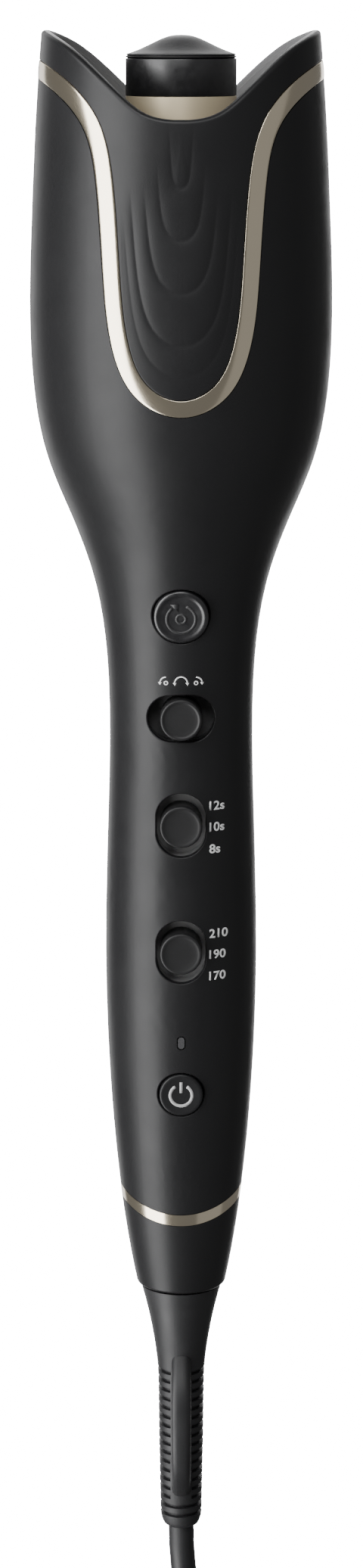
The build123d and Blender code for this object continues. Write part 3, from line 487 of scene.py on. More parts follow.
def new_piece(name, points, faces, material, body, stands_for=(), smooth=True):
    """A mesh object that rides a body and takes its finish from a slot."""
    mesh = bpy.data.meshes.new(name)
    mesh.from_pydata([tuple(map(float, point)) for point in points], [], faces)
    mesh.validate()
    cleaner = bmesh.new()
    cleaner.from_mesh(mesh)
    bmesh.ops.recalc_face_normals(cleaner, faces=cleaner.faces)
    cleaner.to_mesh(mesh)
    cleaner.free()
    mesh.polygons.foreach_set("use_smooth", [smooth] * len(mesh.polygons))
    piece = new_object(name, mesh)
    mesh.materials.append(material)
    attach(piece, body)
    if stands_for:
        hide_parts(*stands_for)
    return piece


def ring_faces(columns, rows):
    """Quads of a closed tube of closed rings: point = column * rows + row."""
    faces = []
    for column in range(columns):
        beside = (column + 1) % columns
        for row in range(rows):
            above = (row + 1) % rows
            here, there = column * rows, beside * rows
            faces.append((here + row, there + row, there + above, here + above))
    return faces


def lathe(profile, centre, outward, steps):
    """Points and faces of a turned form; profile runs from the face's middle to the foot's."""
    turn = Vector(outward).to_track_quat("Z", "Y").to_matrix()
    centre = Vector(centre)
    rims = profile[1:-1]
    points = [centre + turn @ Vector((0, 0, profile[0][1]))]
    for step in range(steps):
        angle = 2 * pi * step / steps
        for radius, height in rims:
            points.append(centre + turn @ Vector((radius * cos(angle), radius * sin(angle), height)))
    points.append(centre + turn @ Vector((0, 0, profile[-1][1])))
    faces = []
    last = len(points) - 1
    count = len(rims)
    for step in range(steps):
        here = 1 + step * count
        there = 1 + (step + 1) % steps * count
        faces.append((0, here, there))
        for row in range(count - 1):
            faces.append((here + row, here + row + 1, there + row + 1, there + row))
        faces.append((here + count - 1, last, there + count - 1))
    return points, faces


def in_millimetres(pairs):
    """Pairs written in millimetres, as metres."""
    return [(MM * first, MM * second) for first, second in pairs]


# ------------------------ collar and trim
HEAD_RADIUS = 38.9
MOUTH_BOTTOM = 186.6
MOUTH_OUTLINE = [(9.0, 188.6), (15.5, 193.9), (22.2, 200.0), (29.0, 205.0), (HEAD_RADIUS - 1.9, 208.6)]
TRIM_BOTTOM = 118.1
TRIM_OUTLINE = [
    (8.4, 121.9), (12.9, 131.2), (15.0, 146.2), (16.9, 172.0), (20.9, 187.2), (29.1, 196.4),
    (HEAD_RADIUS + 3.1, 203.6),
]
SEAM_GAP = 0.15
TRIM_WIDTH = 4.1
WALL = 2.2
CURVE_SAMPLES = 4000
QUARTER = pi / 2


def grown_outline(bottom, outline, grow):
    """The right half of a curve about the middle, each point moved out along its own normal."""
    points = [(-outline[0][0], outline[0][1]), (0.0, bottom)] + list(outline)
    moved = []
    for before, point, after in zip(points, points[1:], points[2:] + points[-1:]):
        along = Vector((after[0] - before[0], after[1] - before[1]))
        if point == points[-1]:
            along = Vector((point[0] - before[0], point[1] - before[1]))
        moved.append((point[0] + grow * along.y / along.length, point[1] - grow * along.x / along.length))
    return moved


def traced_outline(bottom, outline, grow=0.0):
    """Angles round the body, from the front, and heights along a curve drawn from the front."""
    right = grown_outline(bottom, outline, grow)
    points = MM * np.array([(-x, z) for x, z in reversed(right[1:])] + right)
    knots = np.concatenate(([0], np.cumsum(np.hypot(*np.diff(points, axis=0).T))))
    middle = knots[len(right) - 1]
    places = np.linspace(middle, knots[-1], CURVE_SAMPLES)
    x = spline_through(knots, points[:, 0])(places)
    z = spline_through(knots, points[:, 1])(places)
    inside = x < radius_at(z)
    angles = np.arcsin(np.clip(x[inside] / radius_at(z[inside]), 0, 1))
    heights = z[inside]
    return np.append(angles, QUARTER), np.append(heights, heights[-1])


U_FIRST_BOTTOM = 170.2
U_BOTTOM_STEP = 12.87
U_FIRST_WIDTH = 2.2
U_WIDTH_STEP = 2.77
U_SPREAD = 0.055               # how much wider each U gets per millimetre of height
U_ROUNDING = 1.5
U_TOPS = (188.0, 178.0, 172.0, 172.0, 166.0)
U_FADE_OVER = 14.0
U_GROOVE = 0.21
U_LIT_SIDE = 1.4               # how far the groove's inner side runs
U_DARK_SIDE = 0.8              # and its outer side
FAINT_LEVEL = 4.6
FAINT_SHARE = 0.45
LEVEL_RANGE = (0.4, 6.0)
LEVEL_HALVINGS = 26
LEVEL_NUDGE = 0.01


def u_curve(level, x, z):
    """Zero on the U line of a level; positive outside it. Millimetres."""
    width = U_FIRST_WIDTH + U_WIDTH_STEP * (level - 1)
    above = z - (U_FIRST_BOTTOM - U_BOTTOM_STEP * (level - 1))
    width = width + U_SPREAD * np.maximum(above, 0)
    rounded = 1 - np.exp(-U_ROUNDING * np.maximum(above, 0) / width)
    return x**2 - width**2 * np.where(above > 0, rounded, above / width)


def u_level(x, z):
    """Level of the nested U lines that passes through each point, and how fast it changes per mm."""
    low = np.full(x.shape, LEVEL_RANGE[0])
    high = np.full(x.shape, LEVEL_RANGE[1])
    for _ in range(LEVEL_HALVINGS):
        middle = (low + high) / 2
        outside = u_curve(middle, x, z) > 0
        low = np.where(outside, middle, low)
        high = np.where(outside, high, middle)
    level = (low + high) / 2
    nudge = LEVEL_NUDGE
    by_level = (u_curve(level + nudge, x, z) - u_curve(level - nudge, x, z)) / (2 * nudge)
    by_height = (u_curve(level, x, z + nudge) - u_curve(level, x, z - nudge)) / (2 * nudge)
    return level, np.hypot(2 * x, by_height) / np.maximum(np.abs(by_level), 1e-6)


def panel_relief(x, z):
    """Height of the soft grooves between nested U bands; x and z in metres, result too."""
    x, z = x / MM, z / MM
    level, rate = u_level(np.abs(x), z)
    height = np.zeros(x.shape)
    for line, top in zip((1, 2, 3, 4, FAINT_LEVEL), U_TOPS):
        inside = (line - level) / rate
        reach = np.where(inside > 0, U_LIT_SIDE, U_DARK_SIDE)
        share = FAINT_SHARE if line == FAINT_LEVEL else 1.0
        height -= share * U_GROOVE * np.exp(-np.abs(inside) / reach) * smooth((top - z) / U_FADE_OVER)
    return MM * height


FINE_ANGLE = radians(27)
FINE_COLUMNS = 82
COARSE_COLUMNS = 44
COLLAR_ROWS = 170
COLLAR_INNER_ROWS = 14
SEAM_ROUND = 0.22
RIM_ROUND = 0.95
FRONT_DROP = 1.3               # the mouth is a little deeper at the front than at the back, halfway up
RIM_INNER_ROUND = 0.6
FRONT_DROP_SPREAD = 0.7
PANEL_REACH = 15.8
PANEL_FADE = 1.5
SEAM_FADE = 1.2
STEEPEST = 14.0


def ring_angles():
    """Angles round the whole body, closely spaced across the front and back panels."""
    fine = np.linspace(0, FINE_ANGLE, FINE_COLUMNS, endpoint=False)
    coarse = np.linspace(FINE_ANGLE, QUARTER, COARSE_COLUMNS, endpoint=False)
    quarter = np.concatenate((fine, coarse))
    mirrored = pi - np.append(quarter[1:], QUARTER)[::-1]
    half = np.concatenate((quarter, mirrored))
    return np.concatenate((half, half + pi))


def steepness(angles, heights, folded):
    """Length of the curve per unit of height change across it: 1 where it is level."""
    x = radius_at(heights) * np.sin(angles)
    slope = np.gradient(heights, np.maximum(x, 1e-9) + 1e-9 * np.arange(len(x)))
    return np.interp(folded, angles, np.sqrt(1 + np.minimum(np.abs(slope), STEEPEST)**2))


def corner(radius, count, from_edge):
    """Insets and depths round a quarter circle, from the face to the edge or the other way."""
    turns = [QUARTER * k / count for k in range(count + 1)]
    pairs = [(radius * (1 - cos(turn)), radius * (1 - sin(turn))) for turn in turns]
    return pairs[::-1] if from_edge else pairs


def collar_edges(angles, folded):
    """Heights of the collar's foot and tip in each column, with the steepness of each curve."""
    trim_angles, trim_heights = traced_outline(TRIM_BOTTOM, TRIM_OUTLINE)
    mouth_angles, mouth_heights = traced_outline(MOUTH_BOTTOM, MOUTH_OUTLINE)
    foot = np.interp(folded, trim_angles, trim_heights)
    tip = np.interp(folded, mouth_angles, mouth_heights)
    front = np.cos(angles) > 0
    slope_share = (tip - tip.min()) / (tip.max() - tip.min())
    tip = tip - np.where(front, FRONT_DROP * MM * np.sin(pi * slope_share)**FRONT_DROP_SPREAD, 0)
    foot_steep = steepness(trim_angles, trim_heights, folded)
    tip_steep = steepness(mouth_angles, mouth_heights, folded)
    return foot, foot_steep, tip, tip_steep


def collar_rows(foot, foot_steep, tip, tip_steep):
    """Rows of (heights, inset) up the outside, over the rim and down the inside.

    A row whose inset is None carries the panels' relief. The second result is the first inner row.
    """
    rows = []
    for inset, depth in corner(SEAM_ROUND * MM, 3, True):
        rows.append((foot + depth * foot_steep, inset))
    start = foot + SEAM_ROUND * MM * foot_steep
    stop = tip - RIM_ROUND * MM * tip_steep
    for share in np.linspace(0, 1, COLLAR_ROWS)[1:-1]:
        rows.append((start + share * (stop - start), None))
    for inset, depth in corner(RIM_ROUND * MM, 6, False):
        rows.append((tip - depth * tip_steep, inset))
    first_inner = len(rows)
    for inset, depth in corner(RIM_INNER_ROUND * MM, 4, True):
        rows.append((tip - depth * tip_steep, WALL * MM - inset))
    inner_start = tip - RIM_INNER_ROUND * MM * tip_steep
    for share in np.linspace(0, 1, COLLAR_INNER_ROWS)[1:]:
        rows.append((inner_start + share * (foot - inner_start), WALL * MM))
    return rows, first_inner


def faded_relief(x, height, start, foot_steep):
    """The panels' relief, faded out towards the seam and towards the panels' sides."""
    off_seam = smooth((height - start) / (SEAM_FADE * MM * foot_steep))
    off_side = smooth((PANEL_REACH * MM - np.abs(x)) / (PANEL_FADE * MM))
    return off_seam * off_side * panel_relief(x, height)


def add_collar(materials):
    """The head's outer shell: relief on its panels, a rolled rim and an inside in pale liner plastic,
    painted light on its inner walls.
    """
    angles = ring_angles()
    folded = np.arcsin(np.clip(np.abs(np.sin(angles)), 0, 1))
    foot, foot_steep, tip, tip_steep = collar_edges(angles, folded)
    rows, first_inner = collar_rows(foot, foot_steep, tip, tip_steep)
    start = foot + SEAM_ROUND * MM * foot_steep
    points = np.empty((len(angles), len(rows), 3))
    for row, (height, inset) in enumerate(rows):
        reach = radius_at(height)
        if inset is None:
            reach = reach + faded_relief(reach * np.sin(angles), height, start, foot_steep)
        else:
            reach = reach - inset
        points[:, row, 0] = reach * np.sin(angles)
        points[:, row, 1] = -reach * np.cos(angles)
        points[:, row, 2] = height
    collar = new_piece("collar_shell", points.reshape(-1, 3), ring_faces(len(angles), len(rows)),
                       materials["body_plastic"], "handle", ["rim_collar"])
    # The inner faces take the pale liner plastic: painted light on the collar's inner walls.
    collar.data.materials.append(materials["liner_plastic"])
    inner = np.arange(len(collar.data.polygons)) % len(rows) > first_inner
    collar.data.polygons.foreach_set("material_index", inner.astype(np.int32))


TRIM_COLUMNS = 150
TRIM_CROWN = 0.12
TRIM_ROUND = 0.1
TRIM_ROUND_TURNS = (0, 30, 60)
TRIM_FACE_POINTS = 9


def quarter_samples(angles, heights):
    """Evenly spaced spots along a traced curve, from the middle to the side."""
    x = radius_at(heights) * angles
    run = np.concatenate(([0], np.cumsum(np.hypot(np.diff(x), np.diff(heights)))))
    places = np.linspace(0, run[-1], TRIM_COLUMNS + 1)
    return np.interp(places, run, angles), np.interp(places, run, heights)


def trim_section():
    """The ribbon's cross-section as (share across, inset): rounded edges and a crowned face."""
    rim = TRIM_ROUND / TRIM_WIDTH
    first_edge = []
    last_edge = []
    for turn in TRIM_ROUND_TURNS:
        across, inset = rim * (1 - cos(radians(turn))), TRIM_ROUND * (1 - sin(radians(turn)))
        first_edge.append((across, inset))
        last_edge.append((1 - across, inset))
    face = []
    for share in np.linspace(rim, 1 - rim, TRIM_FACE_POINTS):
        face.append((share, -TRIM_CROWN * (1 - (2 * share - 1)**2)))
    return first_edge + face + last_edge[::-1] + [(1.0, WALL), (0.0, WALL)]


def add_trim(materials):
    """The metal ribbon, one closed band round the head below the collar."""
    inner = quarter_samples(*traced_outline(TRIM_BOTTOM, TRIM_OUTLINE, SEAM_GAP))
    outer = quarter_samples(*traced_outline(TRIM_BOTTOM, TRIM_OUTLINE, SEAM_GAP + TRIM_WIDTH))
    section = trim_section()
    order = list(range(TRIM_COLUMNS + 1))
    stations = [(k, 1, 1) for k in order]                       # front right
    stations += [(k, 1, -1) for k in order[-2::-1]]             # back right
    stations += [(k, -1, -1) for k in order[1:]]                # back left
    stations += [(k, -1, 1) for k in order[-2:0:-1]]            # front left
    points = []
    for k, side, face in stations:
        for share, inset in section:
            angle = inner[0][k] + share * (outer[0][k] - inner[0][k])
            height = inner[1][k] + share * (outer[1][k] - inner[1][k])
            reach = float(radius_at(height)) - inset * MM
            points.append((side * reach * sin(angle), -face * reach * cos(angle), height))
    new_piece("trim_ribbon", points, ring_faces(len(stations), len(section)),
              materials["trim_metal"], "handle", ["trim_band"])


# ------------------------ barrel
BARREL_RADIUS = 14.1
BARREL_FOOT = 134.0
BARREL_TOP = 191.6
BAND_TOP = 200.9
BARREL_BORE = 13.1
BAND_BORE = 11.1
BAND_SEAM = 0.02               # half the hairline between the sleeve and the black band
TUBE_EDGE = 0.15
BAND_EDGE = 0.2
BARREL_STEPS = 128
CAP_PROFILE = [
    (0, 206.75), (1.2, 206.72), (2.4, 206.58), (3.6, 206.28), (4.8, 205.85), (6.0, 205.32), (7.5, 204.6),
    (9.0, 203.88), (10.5, 203.2), (12.0, 202.62), (13.2, 202.22), (13.75, 202.02), (13.95, 201.9),
    (13.95, 201.78), (13.7, 201.68), (13.7, 201.6), (14.0, 201.5), (14.1, 201.4), (14.1, 201.3),
    (13.98, 201.2), (13.72, 201.12), (13.7, 200.94), (11.0, 200.92), (11.0, 195.9), (0, 195.9),
]


def rounded_sleeve(foot, top, outer, bore, edge):
    """Closed profile of a sleeve with softened rims, as (radius, height)."""
    return [
        (bore, foot), (outer - edge, foot), (outer - 0.3 * edge, foot + 0.3 * edge),
        (outer, foot + edge), (outer, (foot + top) / 2), (outer, top - edge),
        (outer - 0.3 * edge, top - 0.3 * edge), (outer - edge, top), (bore, top),
    ]


def add_sleeve(name, profile, material, node):
    """A sleeve turned about the handle's axis, in place of a CAD node."""
    points = []
    for step in range(BARREL_STEPS):
        angle = 2 * pi * step / BARREL_STEPS
        for radius, height in profile:
            points.append((MM * radius * cos(angle), MM * radius * sin(angle), MM * height))
    faces = ring_faces(BARREL_STEPS, len(profile))
    new_piece(name, points, faces, material, "handle", [node])


def add_barrel(materials):
    """The coated barrel, its gloss black band and its nose."""
    tube = rounded_sleeve(BARREL_FOOT, BARREL_TOP - BAND_SEAM, BARREL_RADIUS, BARREL_BORE, TUBE_EDGE)
    add_sleeve("barrel_sleeve", tube, materials["barrel_metal"], "barrel_tube")
    band = rounded_sleeve(BARREL_TOP + BAND_SEAM, BAND_TOP, BARREL_RADIUS, BAND_BORE, BAND_EDGE)
    add_sleeve("barrel_black_band", band, materials["gloss_black"], "barrel_band")
    points, faces = lathe(in_millimetres(CAP_PROFILE), (0, 0, 0), (0, 0, 1), BARREL_STEPS)
    new_piece("barrel_nose", points, faces, materials["cap_plastic"], "handle",
              ["barrel_cap"])


# ------------------------ strain relief
HANDLE_FOOT = -125.3
RELIEF_PROFILE = [
    (0.6, 10.9), (6.4, 9.4), (14.7, 7.7), (23.2, 6.55), (34.7, 6.2), (52.7, 5.95), (67.2, 5.65)
]                              # below the handle's foot, and radius
RELIEF_END = [(68.0, 5.55), (68.9, 5.35), (69.6, 5.1), (70.3, 4.75), (70.7, 4.3), (70.7, 3.3)]
RELIEF_BORE = [(20.7, 3.3), (20.7, 4.6), (0.6, 4.6)]
GROOVE_COUNT = 17
GROOVE_FIRST = 24.9
GROOVE_PITCH = 2.6
GROOVE_WIDTH = 1.2
GROOVE_DEPTH = 1.0
GROOVE_EDGE = 0.12
GROOVE_LIP = 0.08              # the closest rows outside a groove
GROOVE_CLEAR = 0.3             # evenly spaced rows keep this far from a groove
RELIEF_ROWS = 80
FULL_ROUND_GROOVES = 2
SPINE_WIDTH = 6.0
RELIEF_COLUMNS = 180
LOOP_OUTER = [(17.6, 5.0), (26.4, 12.4), (38.2, 14.9), (50.6, 13.0), (62.0, 4.6)]
LOOP_INNER = [(25.2, 5.0), (29.6, 10.6), (38.6, 12.1), (48.4, 10.4), (54.4, 4.6)]
LOOP_WIDTH = 5.2
LOOP_STATIONS = 48
LOOP_SECTION = 24
LOOP_SQUARENESS = 0.75
SHARP_EDGE = radians(42)


def groove_share(down, groove):
    """How much of the groove's depth there is at a distance below the foot: 1 inside it."""
    away = abs(down - GROOVE_FIRST - GROOVE_PITCH * groove)
    return min(1.0, max(0.0, (GROOVE_WIDTH / 2 - away) / GROOVE_EDGE))


def relief_rows():
    """Distances below the foot: even steps, and close ones at each groove's edges."""
    downs = list(np.linspace(RELIEF_PROFILE[0][0], RELIEF_PROFILE[-1][0], RELIEF_ROWS))
    half = GROOVE_WIDTH / 2
    for groove in range(GROOVE_COUNT):
        middle = GROOVE_FIRST + GROOVE_PITCH * groove
        downs = [down for down in downs if abs(down - middle) > half + GROOVE_CLEAR]
        for edge in (half + GROOVE_LIP, half, half - GROOVE_EDGE, 0.0):
            downs += [middle - edge, middle + edge] if edge else [middle]
    return sorted(downs)


def relief_points():
    """Columns round the sleeve, each a closed loop down its outside and up its bore."""
    knots, radii = np.array(RELIEF_PROFILE).T
    radius_below = spline_through(knots, radii)
    downs = relief_rows()
    points = []
    for column in range(RELIEF_COLUMNS):
        angle = 2 * pi * column / RELIEF_COLUMNS
        for down, radius in zip(downs, radius_below(np.array(downs))):
            groove = min(GROOVE_COUNT - 1, max(0, round((down - GROOVE_FIRST) / GROOVE_PITCH)))
            spine = cos(angle) > 0 and abs(radius * sin(angle)) < SPINE_WIDTH / 2
            if groove >= GROOVE_COUNT - FULL_ROUND_GROOVES or not spine:
                radius -= GROOVE_DEPTH * groove_share(down, groove)
            points.append((radius * sin(angle), -radius * cos(angle), HANDLE_FOOT - down))
        for down, radius in RELIEF_END + RELIEF_BORE:
            points.append((radius * sin(angle), -radius * cos(angle), HANDLE_FOOT - down))
    return points, ring_faces(RELIEF_COLUMNS, len(downs) + len(RELIEF_END) + len(RELIEF_BORE))


def evenly_along(line):
    """Evenly spaced spots on a smooth curve through (distance below the foot, reach) points."""
    line = np.array(line)
    knots = np.concatenate(([0], np.cumsum(np.hypot(*np.diff(line, axis=0).T))))
    places = np.linspace(0, knots[-1], LOOP_STATIONS)
    return np.column_stack([spline_through(knots, line[:, axis])(places) for axis in (0, 1)])


def loop_points(first):
    """The hang loop: a rounded strap between its outer and inner curves."""
    outer, inner = evenly_along(LOOP_OUTER), evenly_along(LOOP_INNER)
    points, faces = [], []
    for far, near in zip(outer, inner):
        middle, half = (far + near) / 2, (far - near) / 2
        for step in range(LOOP_SECTION):
            turn = 2 * pi * step / LOOP_SECTION
            across = np.sign(cos(turn)) * abs(cos(turn))**LOOP_SQUARENESS
            through = np.sign(sin(turn)) * abs(sin(turn))**LOOP_SQUARENESS
            down, reach = middle + half * through
            points.append((LOOP_WIDTH / 2 * across, -reach, HANDLE_FOOT - down))
    for station in range(LOOP_STATIONS - 1):
        for step in range(LOOP_SECTION):
            beside = (step + 1) % LOOP_SECTION
            here, there = first + station * LOOP_SECTION, first + (station + 1) * LOOP_SECTION
            faces.append((here + step, here + beside, there + beside, there + step))
    last = first + (LOOP_STATIONS - 1) * LOOP_SECTION
    for end in (first, last):
        faces.append(tuple(end + step for step in range(LOOP_SECTION)))
    return points, faces


def add_relief(materials):
    """The grooved sleeve with its hang loop, turning with the swivel."""
    points, faces = relief_points()
    strap_points, strap_faces = loop_points(len(points))
    points = [(MM * x, MM * y, MM * z) for x, y, z in points + strap_points]
    sleeve = new_piece("relief_sleeve", points, faces + strap_faces, materials["cord_rubber"],
                       "swivel", ["strain_relief"])
    sleeve.data.set_sharp_from_angle(angle=SHARP_EDGE)


# ------------------------ buttons and knobs
START_FACE = (0.0, -21.56, 61.0)
START_TILT = radians(11.0)
START_PROFILE = [
    (0, -0.16), (1.5, -0.15), (3.0, -0.10), (4.3, -0.02), (5.0, 0.05), (5.2, 0.06), (5.4, 0.10),
    (5.6, 0.17), (5.8, 0.26), (6.0, 0.33), (6.2, 0.36), (6.4, 0.34), (6.6, 0.28), (6.8, 0.17),
    (6.95, 0.04), (7.03, -0.12), (7.05, -0.35), (7.05, -4.8), (8.25, -4.8), (8.25, -5.8),
    (1.6, -5.8), (1.6, -7.58), (0, -7.58),
]
POWER_FACE = (0.0, -19.01, -67.1)
POWER_TILT = radians(3.2)
POWER_PROFILE = [
    (0, 0.30), (2.0, 0.31), (3.6, 0.33), (4.6, 0.37), (5.0, 0.40), (5.3, 0.38), (5.55, 0.28),
    (5.7, 0.12), (5.75, -0.1), (5.75, -0.7), (5.75, -4.2), (6.95, -4.2), (6.95, -5.2),
    (1.6, -5.2), (1.6, -5.32), (0, -5.32),
]
FACE_POINTS = 8                # of each profile, that lie on the button's face
BUTTON_STEPS = 96


def button_frame(face, tilt):
    """Centre, outward direction and upward direction of a tilted button, in metres."""
    outward = Vector((0, -cos(tilt), -sin(tilt)))
    upward = Vector((0, -sin(tilt), cos(tilt)))
    return MM * Vector(face), outward, upward


def add_button(name, node, body, face, tilt, profile, material):
    """A turned button with its flange and plunger, in place of a CAD node."""
    centre, outward, _ = button_frame(face, tilt)
    points, faces = lathe(in_millimetres(profile), centre, outward, BUTTON_STEPS)
    new_piece(name, points, faces, material, body, [node])


# The knob's dished face as (radius, height), and its rim as (distance from the edge, height).
KNOB_FACE = [(0, -0.26), (1.5, -0.255), (3.0, -0.24), (4.1, -0.18), (4.6, -0.08)]
KNOB_RIM = [(-0.72, -0.015), (-0.5, 0.0), (-0.28, -0.03), (-0.1, -0.16), (0.0, -0.42)]
KNOB_MIDDLE = 2.0
KNOB_HEIGHT = 7.9
STEM_WIDTH = 2.4
STEM_OVERLAP = 0.5


def knob_stem(middle, front, back):
    """Points and quads of the square stem behind a knob."""
    half = STEM_WIDTH / 2 * MM
    points = []
    for y in (front, back):
        for sx, sz in ((-1, -1), (1, -1), (1, 1), (-1, 1)):
            points.append((middle[0] + sx * half, y, middle[2] + sz * half))
    quads = [(0, 1, 2, 3), (4, 7, 6, 5), (0, 4, 5, 1), (1, 5, 6, 2), (2, 6, 7, 3), (3, 7, 4, 0)]
    return points, quads


def add_knob(name, materials):
    """A round knob with a dished face, on the place and size of its CAD node."""
    low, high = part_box(f"{name}_knob")
    radius = (high.x - low.x) / 2 / MM
    middle = ((low.x + high.x) / 2, low.y, (low.z + high.z) / 2)
    profile = list(KNOB_FACE) + [(radius + back, height) for back, height in KNOB_RIM]
    profile += [(radius, -KNOB_MIDDLE), (radius, -KNOB_HEIGHT), (0, -KNOB_HEIGHT)]
    points, faces = lathe(in_millimetres(profile), middle, (0, -1, 0), BUTTON_STEPS)
    base = low.y + KNOB_HEIGHT * MM
    first = len(points)
    stem_points, stem_quads = knob_stem(middle, base - STEM_OVERLAP * MM, high.y)
    points += stem_points
    faces += [tuple(first + k for k in quad) for quad in stem_quads]
    new_piece(f"{name}_cap", points, faces, materials["knob_plastic"],
              f"{name}_slider", [f"{name}_knob"])


# ------------------------ printed symbols
PRINT_LIFT = 0.03
PRINT_DEPTH = 0.05
PRINT_WELD = 0.005             # points closer than this are one
BUTTON_PRINT_LIFT = 0.02
MARK_STROKE = 0.8


def arc(centre, radius, start, stop, step=9.0):
    """Points of an arc in degrees, anticlockwise from +x seen from the front."""
    count = max(2, int(abs(stop - start) / step))
    turns = [radians(start + (stop - start) * k / count) for k in range(count + 1)]
    return [(centre[0] + radius * cos(turn), centre[1] + radius * sin(turn)) for turn in turns]


def stroke(path, width):
    """Quads of a line of constant width along a path."""
    quads = []
    sides = []
    for k, point in enumerate(path):
        before, after = path[max(k - 1, 0)], path[min(k + 1, len(path) - 1)]
        along = Vector((after[0] - before[0], after[1] - before[1])).normalized()
        across = Vector((-along.y, along.x)) * width / 2
        left = (point[0] + across.x, point[1] + across.y)
        right = (point[0] - across.x, point[1] - across.y)
        sides.append((left, right))
    for (left, right), (next_left, next_right) in zip(sides, sides[1:]):
        quads.append((left, right, next_right, next_left))
    return quads


def thicken(piece):
    """Gives a flat print its thickness."""
    thickness = piece.modifiers.new("thickness", "SOLIDIFY")
    thickness.thickness = PRINT_DEPTH * MM
    thickness.offset = 0.0


def add_print(name, shapes, place, material, body):
    """Thin raised print: flat polygons in mm, each point put in space by place(x, z)."""
    points, faces = [], []
    for shape in shapes:
        faces.append(tuple(range(len(points), len(points) + len(shape))))
        points += [place(x * MM, z * MM) for x, z in shape]
    piece = new_piece(name, points, faces, material, body)
    joiner = bmesh.new()
    joiner.from_mesh(piece.data)
    bmesh.ops.remove_doubles(joiner, verts=joiner.verts, dist=PRINT_WELD * MM)
    bmesh.ops.recalc_face_normals(joiner, faces=joiner.faces)
    joiner.to_mesh(piece.data)
    joiner.free()
    thicken(piece)


def on_handle(x, z):
    """The place on the handle's front for a print's point."""
    return tuple(on_body(np.float64(x), np.float64(z), PRINT_LIFT * MM))


def on_button(face, tilt, profile):
    """A place function for symbols on a turned button's face."""
    centre, outward, upward = button_frame(face, tilt)
    radii = [MM * radius for radius, _ in profile[:FACE_POINTS]]
    heights = [MM * height for _, height in profile[:FACE_POINTS]]

    def place(x, z):
        height = float(np.interp(sqrt(x * x + z * z), radii, heights)) + BUTTON_PRINT_LIFT * MM
        return centre + Vector((x, 0, 0)) + upward * z + outward * height

    return place


def start_symbol():
    """A clockwise turning arrow round a small ring."""
    down = -0.6
    shapes = stroke(arc((0, down), 3.7, 70, -232), MARK_STROKE)
    shapes.append(((-2.9, down + 4.1), (-0.6, down + 4.1), (-0.6, down + 1.9)))
    shapes += stroke(arc((0, down), 1.18, 0, 360), 0.75)
    return shapes


def power_symbol():
    """A ring open at the top, with an upright bar in the gap."""
    bar = [(0, 0.7), (0, 1.7), (0, 2.7), (0, 3.7)]
    return stroke(arc((0, 0), 2.9, 122, 418), MARK_STROKE) + stroke(bar, MARK_STROKE)


DIRECTION_BASE = 43.45
DIRECTION_STROKE = 0.34
RING_X = 3.9


def arrow_down(x, z):
    """A small triangle pointing down, its base at a height of z."""
    return (x - 0.48, z + 0.1), (x + 0.48, z + 0.1), (x, z - 0.7)


def direction_symbols():
    """An arc with two arrows, and on each side of it a quarter arrow round a ring."""
    shapes = stroke(arc((0, DIRECTION_BASE), 1.65, 0, 180), DIRECTION_STROKE)
    shapes += [arrow_down(-1.65, DIRECTION_BASE), arrow_down(1.65, DIRECTION_BASE)]
    for side in (-1, 1):
        ring = (side * RING_X, DIRECTION_BASE)
        shapes += stroke(arc(ring, 0.45, 0, 360, 20.0), 0.3)
        shapes += stroke(arc(ring, 1.55, 90, 90 - side * 80), DIRECTION_STROKE)
        shapes.append(arrow_down(side * (RING_X + 1.55), DIRECTION_BASE + 0.1))
    return shapes


LABEL_SIZE = 3.25
LABEL_X = 7.4
LABELS = {
    "label_time": [("12s", 10.85), ("10s", 5.25), ("8s", -0.55)],
    "label_temperature": [("210", -23.2), ("190", -28.8), ("170", -34.6)],
}
LABEL_RISE = 1.17              # half the height of a digit
LABEL_BOLD = 0.07
LABEL_SPACING = 1.02
LABEL_WELD = 0.004
CUT_STEP = 0.3                 # upright cuts, so that the flat figures can follow the handle
CUT_WIDTH = 6.0


def text_mesh(words, x, z):
    """A flat mesh of printed figures with its left end at x, about the height z, in metres."""
    curve = bpy.data.curves.new("figures", "FONT")
    curve.body = words
    curve.size = LABEL_SIZE * MM
    curve.offset = LABEL_BOLD * MM
    curve.space_character = LABEL_SPACING
    curve.resolution_u = 5
    holder = new_object("figures", curve)
    bpy.context.view_layer.update()
    flat = bpy.data.meshes.new_from_object(holder)
    bpy.data.objects.remove(holder)
    bpy.data.curves.remove(curve)
    left_end = min(vertex.co.x for vertex in flat.vertices)
    shift = Vector((x * MM - left_end, (z - LABEL_RISE) * MM, 0))
    for vertex in flat.vertices:
        vertex.co += shift
    return flat


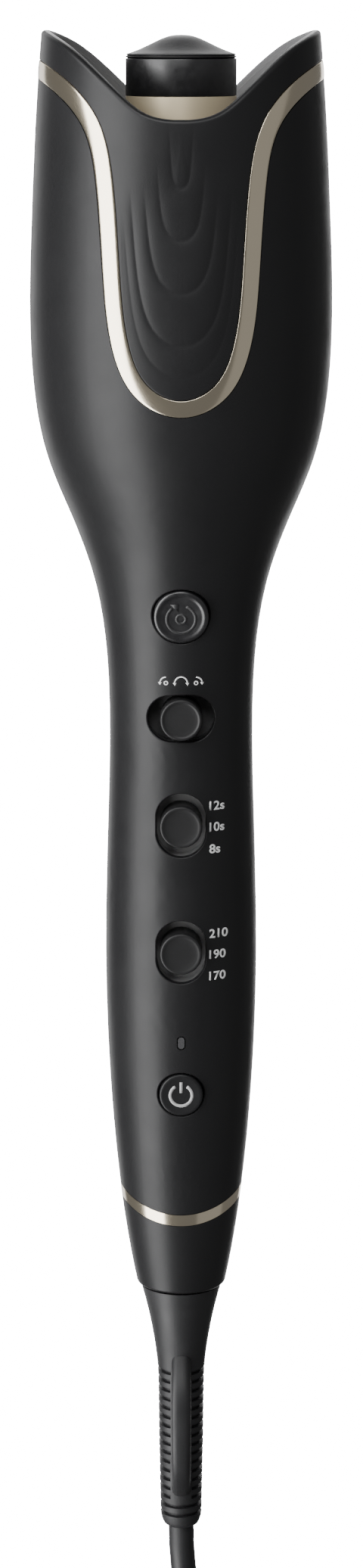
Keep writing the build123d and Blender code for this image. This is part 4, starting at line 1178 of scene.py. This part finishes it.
def cut_figures(lines):
    """All the lines of a label as one flat mesh, cut into narrow upright strips."""
    figures = bmesh.new()
    for words, z in lines:
        flat = text_mesh(words, LABEL_X, z)
        figures.from_mesh(flat)
        bpy.data.meshes.remove(flat)
    bmesh.ops.remove_doubles(figures, verts=figures.verts, dist=LABEL_WELD * MM)
    for step in range(int(CUT_WIDTH / CUT_STEP)):
        everything = figures.verts[:] + figures.edges[:] + figures.faces[:]
        place = ((LABEL_X + CUT_STEP * step) * MM, 0, 0)
        bmesh.ops.bisect_plane(figures, geom=everything, plane_co=place, plane_no=(1, 0, 0))
    return figures


def add_label(name, lines, materials):
    """Printed figures that follow the handle's round front."""
    figures = cut_figures(lines)
    places = np.array([vertex.co for vertex in figures.verts])
    wrapped = on_body(places[:, 0], places[:, 1], PRINT_LIFT * MM)
    for vertex, place in zip(figures.verts, wrapped):
        vertex.co = place
    mesh = bpy.data.meshes.new(name)
    figures.to_mesh(mesh)
    figures.free()
    piece = new_object(name, mesh)
    mesh.materials.append(materials["print_white"])
    thicken(piece)
    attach(piece, "handle")


def add_controls(materials):
    """Both buttons, the three slider knobs and all their prints."""
    add_button("start_cap", "start_button", "start_key", START_FACE, START_TILT, START_PROFILE,
               materials["button_gloss"])
    add_button("power_cap", "power_button", "power_key", POWER_FACE, POWER_TILT, POWER_PROFILE,
               materials["body_plastic"])
    for name in ("direction", "time", "temperature"):
        add_knob(name, materials)
    on_start = on_button(START_FACE, START_TILT, START_PROFILE)
    on_power = on_button(POWER_FACE, POWER_TILT, POWER_PROFILE)
    add_print("start_mark", start_symbol(), on_start, materials["print_grey"],
              "start_key")
    add_print("power_mark", power_symbol(), on_power, materials["print_light"], "power_key")
    add_print("direction_marks", direction_symbols(), on_handle, materials["print_white"],
              "handle")
    for name, lines in LABELS.items():
        add_label(name, lines, materials)


# ------------------------ the scene
add_camera()
add_world()
add_stage()
add_lights()
materials = make_materials()
dress_nodes(materials)
add_cord(materials)
add_collar(materials)
add_trim(materials)
add_barrel(materials)
add_relief(materials)
add_controls(materials)
